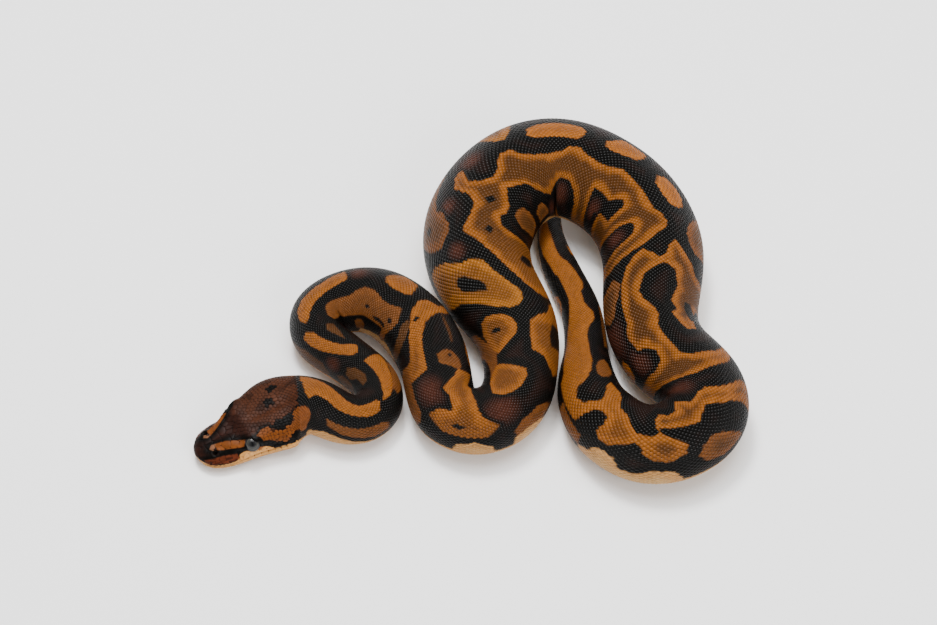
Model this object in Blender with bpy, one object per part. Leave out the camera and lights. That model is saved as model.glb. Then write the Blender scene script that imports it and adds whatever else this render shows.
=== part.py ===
"""A young ball python lying coiled on the floor, life size, as a still display model.

Units are millimetres in the tables below and metres in the meshes. The body is one tapering tube
swept along ROUTE from the snout to the tail tip, and it is parted into head, jaw, eyes, neck,
trunk lengths and tail by thin cuts. +X runs along the coil's long side, the snout points to -X,
and the origin is on the floor under the middle of the coil.
"""
import bpy
import bmesh
import numpy as np
from math import pi

MM = 0.001
GAP = 0.3                    # space left between touching pieces
NAME = "ball_python"

# Middle line of the body on the floor plan, snout first (x, y). The first three points are straight,
# so the head is not bent.
ROUTE = [
    (-66.0, -42.8), (-54.4, -36.8), (-42.9, -30.9), (-37.2, -31.2), (-30.9, -34.1), (-26.2, -34.0),
    (-22.6, -30.1), (-23.5, -23.2), (-27.9, -18.2), (-33.3, -13.5), (-37.6, -8.6), (-37.4, -2.9),
    (-32.6, 0.8), (-25.2, 1.3), (-18.2, -2.9), (-13.1, -9.5), (-9.2, -18.3), (-7.6, -27.3),
    (-5.3, -33.3), (0.8, -36.3), (7.1, -33.9), (10.9, -27.8), (12.0, -18.3), (10.1, -7.3),
    (3.8, 4.9), (1.4, 16.7), (4.5, 28.7), (11.6, 36.9), (20.8, 40.2), (30.4, 37.5),
    (39.7, 29.9), (44.6, 19.7), (45.0, 5.7), (44.5, -8.3), (48.4, -17.9), (54.9, -26.5),
    (55.7, -35.0), (50.3, -41.8), (41.9, -43.7), (33.9, -38.9), (29.2, -30.1), (28.1, -15.5),
    (27.2, 0.5), (23.1, 13.3), (20.4, 25.1), (20.3, 35.7), (21.5, 45.2),
]

# Half width of the body at distances from the snout.
GIRTH = [
    (0, 6.0), (26, 7.0), (33, 6.7), (42, 6.0), (52, 5.7), (62, 5.9), (74, 6.3), (86, 7.4), (100, 8.6),
    (113, 9.0), (126, 8.4), (140, 8.1), (152, 8.3), (166, 8.9), (182, 11.0), (197, 12.9), (212, 13.9),
    (232, 13.9), (253, 13.3), (277, 12.9), (304, 11.2), (330, 10.5), (350, 9.9), (362, 9.2), (374, 7.4),
    (386, 5.3), (402, 4.9), (415, 4.5), (422, 3.8), (429, 3.1), (437, 2.6), (446, 1.6), (452, 0.9),
]

# Height of a section over its width.
FULLNESS = [(0, 0.92), (60, 1.0), (110, 0.98), (150, 0.94), (190, 0.87), (240, 0.82),
            (300, 0.84), (360, 0.87), (400, 0.93), (460, 1.0)]

SINK = 0.045                 # share of the half height by which a resting section is pressed flat
ARCH_AT = 242                # where the body bridges its own tail
ARCH_RISE = 3.5              # how far the middle line is lifted there
ARCH_REACH = 34              # half length of that rise
SADDLE_DEPTH = 6.4           # height of the belly's underside over the tail
SADDLE_REACH = 26
BEND_SOFT = 0.72             # share of the bend radius past which the inner side is squeezed
BEND_LIMIT = 0.94            # share of the bend radius that the inner side never passes

HEAD_END = 27.0              # cut between head and neck
HEAD_BLEND = (24.5, 34.0)    # stretch where the head's sections turn into the body's
# Head sections: distance from snout; crown height; canthus half width, height; lip half width,
# height; jaw half width, height; chin height.
HEAD_SECTIONS = [
    (0.0, 3.6, 0.9, 3.4, 1.2, 2.9, 0.8, 2.4, 2.2),
    (0.7, 4.3, 1.9, 3.9, 2.9, 2.9, 2.3, 1.5, 1.2),
    (2.0, 4.9, 2.8, 4.5, 4.5, 2.8, 3.7, 1.0, 0.5),
    (4.0, 5.5, 3.4, 5.0, 5.6, 2.9, 4.7, 0.7, 0.0),
    (7.0, 6.3, 4.1, 5.9, 6.3, 3.1, 5.4, 0.6, 0.0),
    (10.0, 7.1, 5.2, 6.7, 6.5, 3.4, 5.8, 0.6, 0.0),
    (13.0, 8.2, 6.1, 7.8, 7.0, 3.8, 6.2, 0.7, 0.0),
    (16.0, 8.9, 6.2, 8.2, 8.0, 4.2, 6.9, 0.8, 0.0),
    (20.0, 9.7, 6.4, 8.8, 9.3, 4.7, 7.8, 1.0, 0.0),
    (24.0, 10.5, 6.3, 9.4, 9.7, 5.2, 8.0, 1.2, 0.0),
    (28.0, 11.3, 6.0, 10.0, 8.8, 5.7, 7.2, 1.3, 0.0),
    (34.0, 12.2, 5.5, 10.6, 7.0, 6.3, 5.4, 1.4, 0.0),
]
MOUTH = [(-2.0, 2.35), (2.0, 2.4), (6.0, 2.3), (10.0, 2.5), (14.0, 3.0), (18.0, 3.6), (21.5, 4.4)]
JAW_BACK = (23.5, -1.0)      # foot of the cut behind the jaw's corner

EYE_RADIUS = 2.1
EYE_AT = 12.7                # distance of the eyes from the snout
EYE_OUT = 5.10               # their middle, out from the middle line
EYE_HEIGHT = 5.9

# Cuts across the body, between the neck, the trunk's lengths and the tail.
NECK_END = 66.0
TRUNK_CUTS = [66.0, 121.0, 173.0, 206.0, 231.0, 256.0, 290.0, 319.0, 363.0, 398.0]

SIDES = 24                   # faces round the neck, trunk and tail
HEAD_SIDES = 28
SNOUT_RINGS = [0.0, 0.2, 0.5, 0.95, 1.5, 2.2, 3.0]      # sections that round off the snout
HEAD_RING_START, HEAD_RING_STEP = 4.0, 1.1
TAIL_TIP = 5.0                                          # length over which the tail rounds off
TAIL_TIP_RINGS = [3.6, 2.2, 1.2, 0.5, 0.12]             # the last sections, measured back from the tip
RING_STEP = (1.8, 4.6)       # shortest and longest step between sections
RING_TURN = 0.21             # most that the body turns from one section to the next, radians
PATH_STEP = 0.25             # step of the traced middle line
PATH_POINTS = 4000           # points it is first traced with
TURN_SMOOTHING = 9           # steps over which its turn rate is averaged
HEAD_HEADING_AT = 5.0        # where along the straight snout the head's own direction is read
TABLE_ROUNDING = 2.0         # how far the tables' corners are rounded off, less within
TABLE_ROUNDING_FROM = 30.0   # this distance of the snout
WEDGE_REACH = 16.0           # half width of the tool that parts the jaw

# name: colour (linear), roughness
COLOURS = {
    "head": ((0.066, 0.020, 0.014), 0.42),
    "lower_jaw": ((0.60, 0.42, 0.25), 0.45),
    "neck": ((0.20, 0.075, 0.028), 0.42),
    "trunk": ((0.24, 0.095, 0.030), 0.42),
    "tail": ((0.42, 0.17, 0.035), 0.42),
    "eye": ((0.035, 0.042, 0.048), 0.08),
}


def natural_spline(t, values):
    """Second derivatives of the smooth curve through values at t, free at both ends."""
    n = len(t)
    h = np.diff(t)
    system = np.eye(n)
    right = np.zeros((n,) + values.shape[1:])
    for i in range(1, n - 1):
        system[i, i - 1:i + 2] = h[i - 1] / 6, (h[i - 1] + h[i]) / 3, h[i] / 6
        right[i] = (values[i + 1] - values[i]) / h[i] - (values[i] - values[i - 1]) / h[i - 1]
    return np.linalg.solve(system, right)


def read_spline(t, values, second, at):
    """The curve's points at the parameters in at."""
    i = np.clip(np.searchsorted(t, at) - 1, 0, len(t) - 2)
    h = t[i + 1] - t[i]
    a = ((t[i + 1] - at) / h)[:, None]
    b = 1 - a
    h2 = (h * h / 6)[:, None]
    return a * values[i] + b * values[i + 1] + ((a**3 - a) * second[i] + (b**3 - b) * second[i + 1]) * h2


def trace_route():
    """Middle line at even small steps: distance from the snout, x and y, heading and turn rate."""
    points = np.array(ROUTE, float)
    t = np.concatenate([[0], np.cumsum(np.linalg.norm(np.diff(points, axis=0), axis=1))])
    fine = np.linspace(0, t[-1], PATH_POINTS)
    line = read_spline(t, points, natural_spline(t, points), fine)
    run = np.concatenate([[0], np.cumsum(np.linalg.norm(np.diff(line, axis=0), axis=1))])
    s = np.arange(0, run[-1], PATH_STEP)
    xy = np.column_stack([np.interp(s, run, line[:, 0]), np.interp(s, run, line[:, 1])])
    heading = np.unwrap(np.arctan2(np.gradient(xy[:, 1]), np.gradient(xy[:, 0])))
    turn = np.convolve(np.gradient(heading, s), np.ones(TURN_SMOOTHING) / TURN_SMOOTHING, mode="same")
    return s, xy, heading, turn


PATH = trace_route()
LENGTH = PATH[0][-1]


def smooth_table(table, at):
    """Value of a (distance, value) table at a distance, rounded off between its rows."""
    d = np.array([row[0] for row in table], float)
    v = np.array([row[1:] for row in table], float)
    at = np.atleast_1d(np.asarray(at, float))
    near_snout = np.clip(at / TABLE_ROUNDING_FROM, 0.05, 1.0)[:, None]
    spread = np.linspace(-1.0, 1.0, 5) * TABLE_ROUNDING * near_snout
    reach = np.clip(at[:, None] + spread, d[0], d[-1])
    return np.stack([np.interp(reach, d, v[:, k]).mean(axis=1) for k in range(v.shape[1])], axis=1)


def bump(s, middle, reach):
    """A smooth hill of height 1 round a place."""
    x = np.clip(abs(s - middle) / reach, 0, 1)
    return (1 - x * x) ** 2


def squeeze(share):
    """Keep a bend's inner side short of the bend's own middle."""
    room = BEND_LIMIT - BEND_SOFT
    over = np.maximum(share - BEND_SOFT, 0)
    return np.where(share > BEND_SOFT, BEND_SOFT + room * np.tanh(over / room), share)


def body_section(s, sides):
    """Across and up of a body section, from the top round over the right side."""
    angle = np.linspace(0, 2 * pi, sides, endpoint=False)
    tip = np.clip(1 - (LENGTH - s) / TAIL_TIP, 0, 1)
    width = smooth_table(GIRTH, s)[0, 0] * np.sqrt(1 - tip * tip)
    height = width * smooth_table(FULLNESS, s)[0, 0]
    middle = height * (1 - SINK) + ARCH_RISE * bump(s, ARCH_AT, ARCH_REACH)
    floor = SADDLE_DEPTH * bump(s, ARCH_AT, SADDLE_REACH)
    across = width * np.sin(angle)
    up = np.maximum(middle + height * np.cos(angle), floor)
    return across, up


def head_section(s, sides):
    """Across and up of a head section, a smooth closed curve through the crown, canthus, lip and jaw."""
    crown, canthus, canthus_z, lip, lip_z, jaw, jaw_z, chin = smooth_table(HEAD_SECTIONS, s)[0]
    half = [(0, crown), (canthus, canthus_z), (lip, lip_z), (jaw, jaw_z), (0, chin)]
    loop = np.array(half + [(-x, z) for x, z in half[-2:0:-1]])
    share = np.array([0, 0.12, 0.27, 0.38, 0.5, 0.62, 0.73, 0.88])
    t = np.concatenate([share - 1, share, share + 1])
    points = np.vstack([loop, loop, loop])
    at = np.linspace(0, 1, sides, endpoint=False)
    curve = read_spline(t, points, natural_spline(t, points), at)
    return curve[:, 0], np.maximum(curve[:, 1], 0)


def section(s, sides):
    """One closed ring of the animal at a distance from the snout, as x, y, z in mm."""
    across, up = body_section(s, sides)
    start, end = HEAD_BLEND
    if s < end:
        x = np.clip((s - start) / (end - start), 0, 1)
        body = x * x * (3 - 2 * x)
        head_across, head_up = head_section(s, sides)
        across = body * across + (1 - body) * head_across
        up = body * up + (1 - body) * head_up
    dist, xy, heading, turn = PATH
    rate = np.interp(s, dist, turn)
    if abs(rate) > 1e-6:
        across = squeeze(across * rate) / rate
    angle = np.interp(s, dist, heading)
    x = np.interp(s, dist, xy[:, 0]) - across * np.sin(angle)
    y = np.interp(s, dist, xy[:, 1]) + across * np.cos(angle)
    return np.column_stack([x, y, up])


def ring_places(start, end):
    """Distances of the sections from start to end, closer where the body bends."""
    dist, _, _, turn = PATH
    s = np.linspace(start, end, 400)
    rate = np.abs(np.interp(s, dist, turn))
    step = np.clip(RING_TURN / np.maximum(rate, 1e-4), *RING_STEP)
    count = np.concatenate([[0], np.cumsum(np.diff(s) * 0.5 * (1 / step[1:] + 1 / step[:-1]))])
    rings = max(2, int(round(count[-1])) + 1)
    return np.interp(np.linspace(0, count[-1], rings), count, s)


def loft(name, places, sides):
    """A closed mesh through the sections at places, with a flat fan at each end."""
    shape = bmesh.new()
    rings = []
    for s in places:
        rings.append([shape.verts.new(p * MM) for p in section(s, sides)])
    for low, high in zip(rings, rings[1:]):
        for i in range(sides):
            j = (i + 1) % sides
            shape.faces.new((low[i], low[j], high[j], high[i]))
    for ring in (rings[0], rings[-1]):
        middle = shape.verts.new(sum((v.co for v in ring), ring[0].co * 0) / sides)
        for i in range(sides):
            shape.faces.new((ring[i], ring[(i + 1) % sides], middle))
    bmesh.ops.triangulate(shape, faces=shape.faces[:])
    bmesh.ops.recalc_face_normals(shape, faces=shape.faces[:])
    mesh = bpy.data.meshes.new(name)
    shape.to_mesh(mesh)
    shape.free()
    mesh.shade_smooth()
    return bpy.data.objects.new(name, mesh)


def head_frame():
    """Matrix columns of the head: along from the snout, across to the animal's left, up."""
    _, xy, heading, _ = PATH
    angle = heading[int(HEAD_HEADING_AT / PATH_STEP)]
    along = np.array([np.cos(angle), np.sin(angle), 0])
    left = np.array([np.sin(angle), -np.cos(angle), 0])
    return np.append(xy[0], 0), along, left


def head_point(along, left, up):
    """A place in the head, in metres."""
    tip, forward, side = head_frame()
    return (tip + forward * along + side * left + np.array([0, 0, up])) * MM


def jaw_wedge(name, spare):
    """A wedge under the mouth line that parts the jaw, grown all round by spare."""
    outline = [(a, z + spare) for a, z in MOUTH]
    outline[-1] = (MOUTH[-1][0] + spare, MOUTH[-1][1] + spare)
    outline += [(JAW_BACK[0] + spare, JAW_BACK[1]), (-2.0, JAW_BACK[1])]
    shape = bmesh.new()
    near = [shape.verts.new(head_point(a, WEDGE_REACH, z)) for a, z in outline]
    far = [shape.verts.new(head_point(a, -WEDGE_REACH, z)) for a, z in outline]
    shape.faces.new(near)
    shape.faces.new(far[::-1])
    for i in range(len(outline)):
        j = (i + 1) % len(outline)
        shape.faces.new((near[i], far[i], far[j], near[j]))
    bmesh.ops.recalc_face_normals(shape, faces=shape.faces[:])
    mesh = bpy.data.meshes.new(name)
    shape.to_mesh(mesh)
    shape.free()
    return bpy.data.objects.new(name, mesh)


def ball(name, centre, radius):
    """A round ball with its place in its own mesh."""
    shape = bmesh.new()
    bmesh.ops.create_uvsphere(shape, u_segments=20, v_segments=10, radius=radius * MM)
    for vert in shape.verts:
        vert.co.x += centre[0]
        vert.co.y += centre[1]
        vert.co.z += centre[2]
    mesh = bpy.data.meshes.new(name)
    shape.to_mesh(mesh)
    shape.free()
    mesh.shade_smooth()
    return bpy.data.objects.new(name, mesh)


def material(kind):
    """The plain colour of one kind of sub-part."""
    colour, roughness = COLOURS[kind]
    made = bpy.data.materials.get(kind) or bpy.data.materials.new(kind)
    made.use_nodes = True
    shader = made.node_tree.nodes["Principled BSDF"]
    shader.inputs["Base Color"].default_value = (*colour, 1)
    shader.inputs["Roughness"].default_value = roughness
    shader.inputs["Metallic"].default_value = 0.0
    return made


def add_cut(piece, cutter, operation):
    """A live boolean that cuts the piece by the cutter."""
    cut = piece.modifiers.new(operation.title() + " " + cutter.name, "BOOLEAN")
    cut.object = cutter
    cut.operation = operation
    cut.solver = "EXACT"


def make_head(parts, cutters):
    """Upper head, lower jaw and the two eyes in their sockets."""
    last = HEAD_END - GAP / 2
    places = SNOUT_RINGS + list(np.arange(HEAD_RING_START, last - GAP, HEAD_RING_STEP)) + [last]
    head = loft("head", places, HEAD_SIDES)
    jaw = loft("lower_jaw", places, HEAD_SIDES)
    wedge = jaw_wedge("jaw_cutter", 0.0)
    notch = jaw_wedge("mouth_cutter", GAP)
    cutters += [wedge, notch]
    add_cut(head, notch, "DIFFERENCE")
    add_cut(jaw, wedge, "INTERSECT")
    for side, sign in (("left", 1), ("right", -1)):
        middle = head_point(EYE_AT, sign * EYE_OUT, EYE_HEIGHT)
        parts.append((ball("eye_" + side, middle, EYE_RADIUS), "eye"))
        socket = ball("socket_" + side, middle, EYE_RADIUS + GAP)
        cutters.append(socket)
        add_cut(head, socket, "DIFFERENCE")
    parts += [(head, "head"), (jaw, "lower_jaw")]


def make_length(name, start, end):
    """One length of neck, trunk or tail between two cuts."""
    return loft(name, ring_places(start + GAP / 2, end - GAP / 2), SIDES)


def make_tail(start):
    """The tail, with its sections closing in to a blunt tip."""
    tip = [LENGTH - back for back in TAIL_TIP_RINGS]
    return loft("tail", list(ring_places(start + GAP / 2, tip[0])) + tip[1:], SIDES)


def main():
    for item in list(bpy.data.objects):
        bpy.data.objects.remove(item, do_unlink=True)
    parts = []
    cutters = []
    make_head(parts, cutters)
    parts.append((make_length("neck", HEAD_END, NECK_END), "neck"))
    for number, (start, end) in enumerate(zip(TRUNK_CUTS, TRUNK_CUTS[1:]), 1):
        parts.append((make_length("trunk_%d" % number, start, end), "trunk"))
    parts.append((make_tail(TRUNK_CUTS[-1]), "tail"))

    shown = bpy.data.collections.new(NAME)
    hidden = bpy.data.collections.new("cutters")
    bpy.context.scene.collection.children.link(shown)
    bpy.context.scene.collection.children.link(hidden)
    for piece, kind in parts:
        piece.data.materials.append(material(kind))
        shown.objects.link(piece)
    for cutter in cutters:
        hidden.objects.link(cutter)
        cutter.hide_render = True
        cutter.display_type = "WIRE"


main()
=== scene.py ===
"""A young ball python lying coiled and still, as a Blender add-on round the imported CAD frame.

Places on the animal are told by s, the distance from the snout along its middle line in millimetres,
and theta, the angle round its section in degrees: 0 on the back, positive down its right side,
negative down its left. Lifts are millimetres above the true outline.
"""
from math import cos, pi, radians, sin

import bpy
import numpy as np
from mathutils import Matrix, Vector


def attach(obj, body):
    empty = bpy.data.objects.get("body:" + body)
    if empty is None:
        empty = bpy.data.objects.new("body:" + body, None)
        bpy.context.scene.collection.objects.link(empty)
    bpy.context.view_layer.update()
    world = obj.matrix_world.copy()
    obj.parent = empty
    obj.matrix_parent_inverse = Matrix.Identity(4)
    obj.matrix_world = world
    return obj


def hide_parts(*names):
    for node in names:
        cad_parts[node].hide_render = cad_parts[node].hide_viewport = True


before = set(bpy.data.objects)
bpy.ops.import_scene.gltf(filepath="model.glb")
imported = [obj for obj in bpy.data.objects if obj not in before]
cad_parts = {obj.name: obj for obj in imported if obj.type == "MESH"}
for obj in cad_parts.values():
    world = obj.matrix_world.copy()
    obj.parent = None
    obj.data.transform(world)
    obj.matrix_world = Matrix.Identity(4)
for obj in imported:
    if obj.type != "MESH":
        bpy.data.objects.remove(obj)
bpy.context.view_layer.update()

bl_info = {
    "name": "Coiled Ball Python",
    "version": (1, 0, 0),
    "blender": (4, 5, 0),
    "location": "View3D > Sidebar > Python",
    "description": "Builds a life-size coiled ball python with solid scales, eyes and a plain studio",
    "category": "Object",
}

MM = 0.001
STEP = 0.25                  # mm between the body's sections where they are worked out
COLUMNS = 240                # points round a section of the outline
FINE, COARSE = 240, 120      # points round the skin on the head and on the body
FOLDS = 8                    # bands that the skin's unwrap is folded into

# ---------------------------------------------------------------- the body's form, as the CAD has it
ROUTE = [
    (-66.0, -42.8), (-54.4, -36.8), (-42.9, -30.9), (-37.2, -31.2), (-30.9, -34.1), (-26.2, -34.0),
    (-22.6, -30.1), (-23.5, -23.2), (-27.9, -18.2), (-33.3, -13.5), (-37.6, -8.6), (-37.4, -2.9),
    (-32.6, 0.8), (-25.2, 1.3), (-18.2, -2.9), (-13.1, -9.5), (-9.2, -18.3), (-7.6, -27.3),
    (-5.3, -33.3), (0.8, -36.3), (7.1, -33.9), (10.9, -27.8), (12.0, -18.3), (10.1, -7.3),
    (3.8, 4.9), (1.4, 16.7), (4.5, 28.7), (11.6, 36.9), (20.8, 40.2), (30.4, 37.5),
    (39.7, 29.9), (44.6, 19.7), (45.0, 5.7), (44.5, -8.3), (48.4, -17.9), (54.9, -26.5),
    (55.7, -35.0), (50.3, -41.8), (41.9, -43.7), (33.9, -38.9), (29.2, -30.1), (28.1, -15.5),
    (27.2, 0.5), (23.1, 13.3), (20.4, 25.1), (20.3, 35.7), (21.5, 45.2),
]
GIRTH = [(0, 6.0), (26, 7.0), (33, 6.7), (42, 6.0), (52, 5.7), (62, 5.9), (74, 6.3), (86, 7.4),
         (100, 8.6), (113, 9.0), (126, 8.4), (140, 8.1), (152, 8.3), (166, 8.9), (182, 11.0), (197, 12.9),
         (212, 13.9), (232, 13.9), (253, 13.3), (277, 12.9), (304, 11.2), (330, 10.5), (350, 9.9),
         (362, 9.2), (374, 7.4), (386, 5.3), (402, 4.9), (415, 4.5), (422, 3.8), (429, 3.1), (437, 2.6),
         (446, 1.6), (452, 0.9)]
FULLNESS = [(0, 0.92), (60, 1.0), (110, 0.98), (150, 0.94), (190, 0.87), (240, 0.82), (300, 0.84),
            (360, 0.87), (400, 0.93), (460, 1.0)]
SINK = 0.045
ARCH_AT, ARCH_RISE, ARCH_REACH = 242, 3.5, 34
SADDLE_DEPTH, SADDLE_REACH = 6.4, 26
EASE_AT, EASE_RISE, EASE_REACH = 231, 0.5, 14    # clears the scales on the tail where it goes under
BEND_SOFT, BEND_LIMIT = 0.72, 0.94
TAIL_TIP = 5.0
HEAD_BLEND = (24.5, 34.0)
# Distance from snout; crown height; canthus half width, height; lip half width, height; jaw half
# width, height; chin height.
HEAD_SECTIONS = [
    (0.0, 3.6, 0.9, 3.4, 1.2, 2.9, 0.8, 2.4, 2.2),
    (0.7, 4.3, 1.9, 3.9, 2.9, 2.9, 2.3, 1.5, 1.2),
    (2.0, 4.9, 2.8, 4.5, 4.5, 2.8, 3.7, 1.0, 0.5),
    (4.0, 5.5, 3.4, 5.0, 5.6, 2.9, 4.7, 0.7, 0.0),
    (7.0, 6.3, 4.1, 5.9, 6.3, 3.1, 5.4, 0.6, 0.0),
    (10.0, 7.1, 5.2, 6.7, 6.5, 3.4, 5.8, 0.6, 0.0),
    (13.0, 8.2, 6.1, 7.8, 7.0, 3.8, 6.2, 0.7, 0.0),
    (16.0, 8.9, 6.2, 8.2, 8.0, 4.2, 6.9, 0.8, 0.0),
    (20.0, 9.7, 6.4, 8.8, 9.3, 4.7, 7.8, 1.0, 0.0),
    (24.0, 10.5, 6.3, 9.4, 9.7, 5.2, 8.0, 1.2, 0.0),
    (28.0, 11.3, 6.0, 10.0, 8.8, 5.7, 7.2, 1.3, 0.0),
    (34.0, 12.2, 5.5, 10.6, 7.0, 6.3, 5.4, 1.4, 0.0),
]
MOUTH = [(-2.0, 2.35), (2.0, 2.4), (6.0, 2.3), (10.0, 2.5), (14.0, 3.0), (18.0, 3.6), (21.5, 4.4)]
MOUTH_END = 22.0
EYE_AT, EYE_OUT, EYE_HEIGHT, EYE_RADIUS = 12.7, 5.10, 5.9, 2.1
EYE_GAZE = (0.66, -0.19, 0.73)    # outwards, backwards and up
SPECTACLE = 0.035            # share by which the clear spectacle bulges from the ball
SNOUT_CAP = 0.2              # how far the snout's rounded front stands before s = 0
CAP_RINGS = [-SNOUT_CAP, -0.17, -0.1]
SNOUT_MIDDLE = 2.9           # height that the cap closes to
HEAD_HALF_WIDTH = ((0, 1, 4, 10, 16, 24, 34), (1.0, 3.0, 5.2, 6.6, 7.6, 8.8, 6.9))
FLESH = ["head", "lower_jaw", "neck"] + ["trunk_%d" % n for n in range(1, 10)] + ["tail"]

# ---------------------------------------------------------------- the scales
HEAD_END = 27.2              # where the head's plates give way to the body's rows
PLATES_BLEND = 23.2          # from here back the head's plates lie in the body's rings
BROAD_PLATES = 17.0          # up to here a plate can carry more than one colour
# Scales that a ring would hold all round, at distances from the snout.
ROWS = [(23, 52), (27, 50), (34, 48), (46, 46), (62, 47), (90, 51), (115, 56), (165, 63), (190, 66),
        (320, 66), (350, 56), (372, 43), (400, 34), (430, 25), (446, 16)]
SCUTE_HALF = 0.088           # share of the section that the belly's broad scutes cover, to each side
SCUTES_FROM = 35.0
SCUTE_STEP = 2.1
FAR_OUT = -9.0               # depth in a mark, mm, of a place that is far outside it
BORDER = 0.14                # mm over which a marking's edge runs into the next colour
PATCH = 0.003                # size of one scale's patch on the unrolled skin
BLEED = 0.5                  # share of a scale's reach over which its own colour varies
HALF_RING = 40               # more scales than half of any ring holds
OVERLAP = 1.20               # length of a scale's rear half against its front half
# Lifts of a scale's root, rim and crown, for one of 1 mm half length; and of a head plate's.
SCALE_ROOT, SCALE_RIM, SCALE_CROWN = -0.42, -0.07, 0.07
PLATE_ROOT, PLATE_RIM = -0.34, -0.07
TILT = 0.05                  # rise of a scale's rear tip, and fall of its front
# Middles of the head's named plates, on each side: s, theta and room to the next.
TOP_PLATES = [(1.7, 22, 1.05), (3.4, 12, 1.05), (5.4, 11, 1.1), (7.6, 12, 1.05), (2.7, 40, 0.75),
              (5.3, 41, 0.8), (6.8, 30, 0.85), (8.9, 33, 0.85), (11.3, 30, 0.8), (13.2, 31, 0.95)]
# The lips' plates by their distance from the snout; the second to sixth upper ones hold heat pits.
UPPER_LIP = [0.9, 2.3, 3.8, 5.4, 7.0, 8.6, 10.2, 11.9, 13.6, 15.4, 17.3, 19.3, 21.4]
LOWER_LIP = [1.2, 2.7, 4.2, 5.7, 7.1, 8.5, 9.9, 11.3, 12.8, 14.3, 15.9, 17.5, 19.2, 21.0]
LIP_HEIGHTS = (0.98, -0.85)  # of the upper and the lower plates' middles, from the mouth line
# Scales between nostril and eye: distance from the snout, and height.
LOREALS = [(4.9, 4.1), (6.3, 4.3), (7.7, 4.4), (9.1, 4.5), (6.6, 5.4), (8.0, 5.6), (9.3, 5.9)]
NOSTRIL = (3.95, 41)         # s and theta of the place that is left bare for it
PLAIN, PITTED, BARE = 0, 1, -1
# Rings of ten round each eye: reach along and up, room, and sort. The inner one keeps the eye bare.
EYE_RINGS = [(2.15, 2.0, 0.6, PLAIN), (1.0, 0.95, 0.5, BARE)]
# Width of the small scales that fill the rest of the head, at distances from the snout.
FILLER_WIDTH = ((0, 7, 12, 22, 28), (1.4, 1.05, 0.82, 0.86, 1.15))
WOBBLE = 0.10                # how far they stray from their rings, as a share of their width
# Coat pieces along the body, each small enough for one mesh: name, start, end.
LENGTHS = [("scales_neck", HEAD_END, 66), ("scales_loop", 66, 112), ("scales_first_bend", 112, 146),
           ("scales_second_bend", 146, 182), ("scales_crossing", 182, 222), ("scales_arch", 222, 262),
           ("scales_far_side", 262, 303), ("scales_last_bend", 303, 345), ("scales_tail", 345, 446)]


def srgb(text):
    """Linear red, green and blue of a hex colour."""
    parts = np.array([int(text[i:i + 2], 16) / 255 for i in (1, 3, 5)])
    return np.where(parts <= 0.04045, parts / 12.92, ((parts + 0.055) / 1.055) ** 2.4)


# ---------------------------------------------------------------- the markings
# Colours of each kind of mark: its rim, its middle, and the skin between its scales.
KINDS = {
    "blotch": ("#744214", "#3F240B", "#1E1206"),
    "bright": ("#7B4A15", "#4E2D0F", "#241706"),
    "brown": ("#40260F", "#361D0F", "#180F07"),
    "rust": ("#4A2112", "#38170E", "#160906"),
    "cream": ("#A07444", "#A88454", "#74502C"),
    "orange": ("#844B15", "#764212", "#301D08"),
    "tan": ("#583213", "#422710", "#1E140A"),
    "labial": ("#B07C42", "#B89464", "#7A4824"),
    "cheek": ("#5E3213", "#542C11", "#20120A"),
    "snout": ("#6A4630", "#6A4630", "#24160E"),
    "crown": ("#24120D", "#381E12", "#180C09"),
}
GROUND = ("#060504", "#381B11", "#030302")

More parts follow.
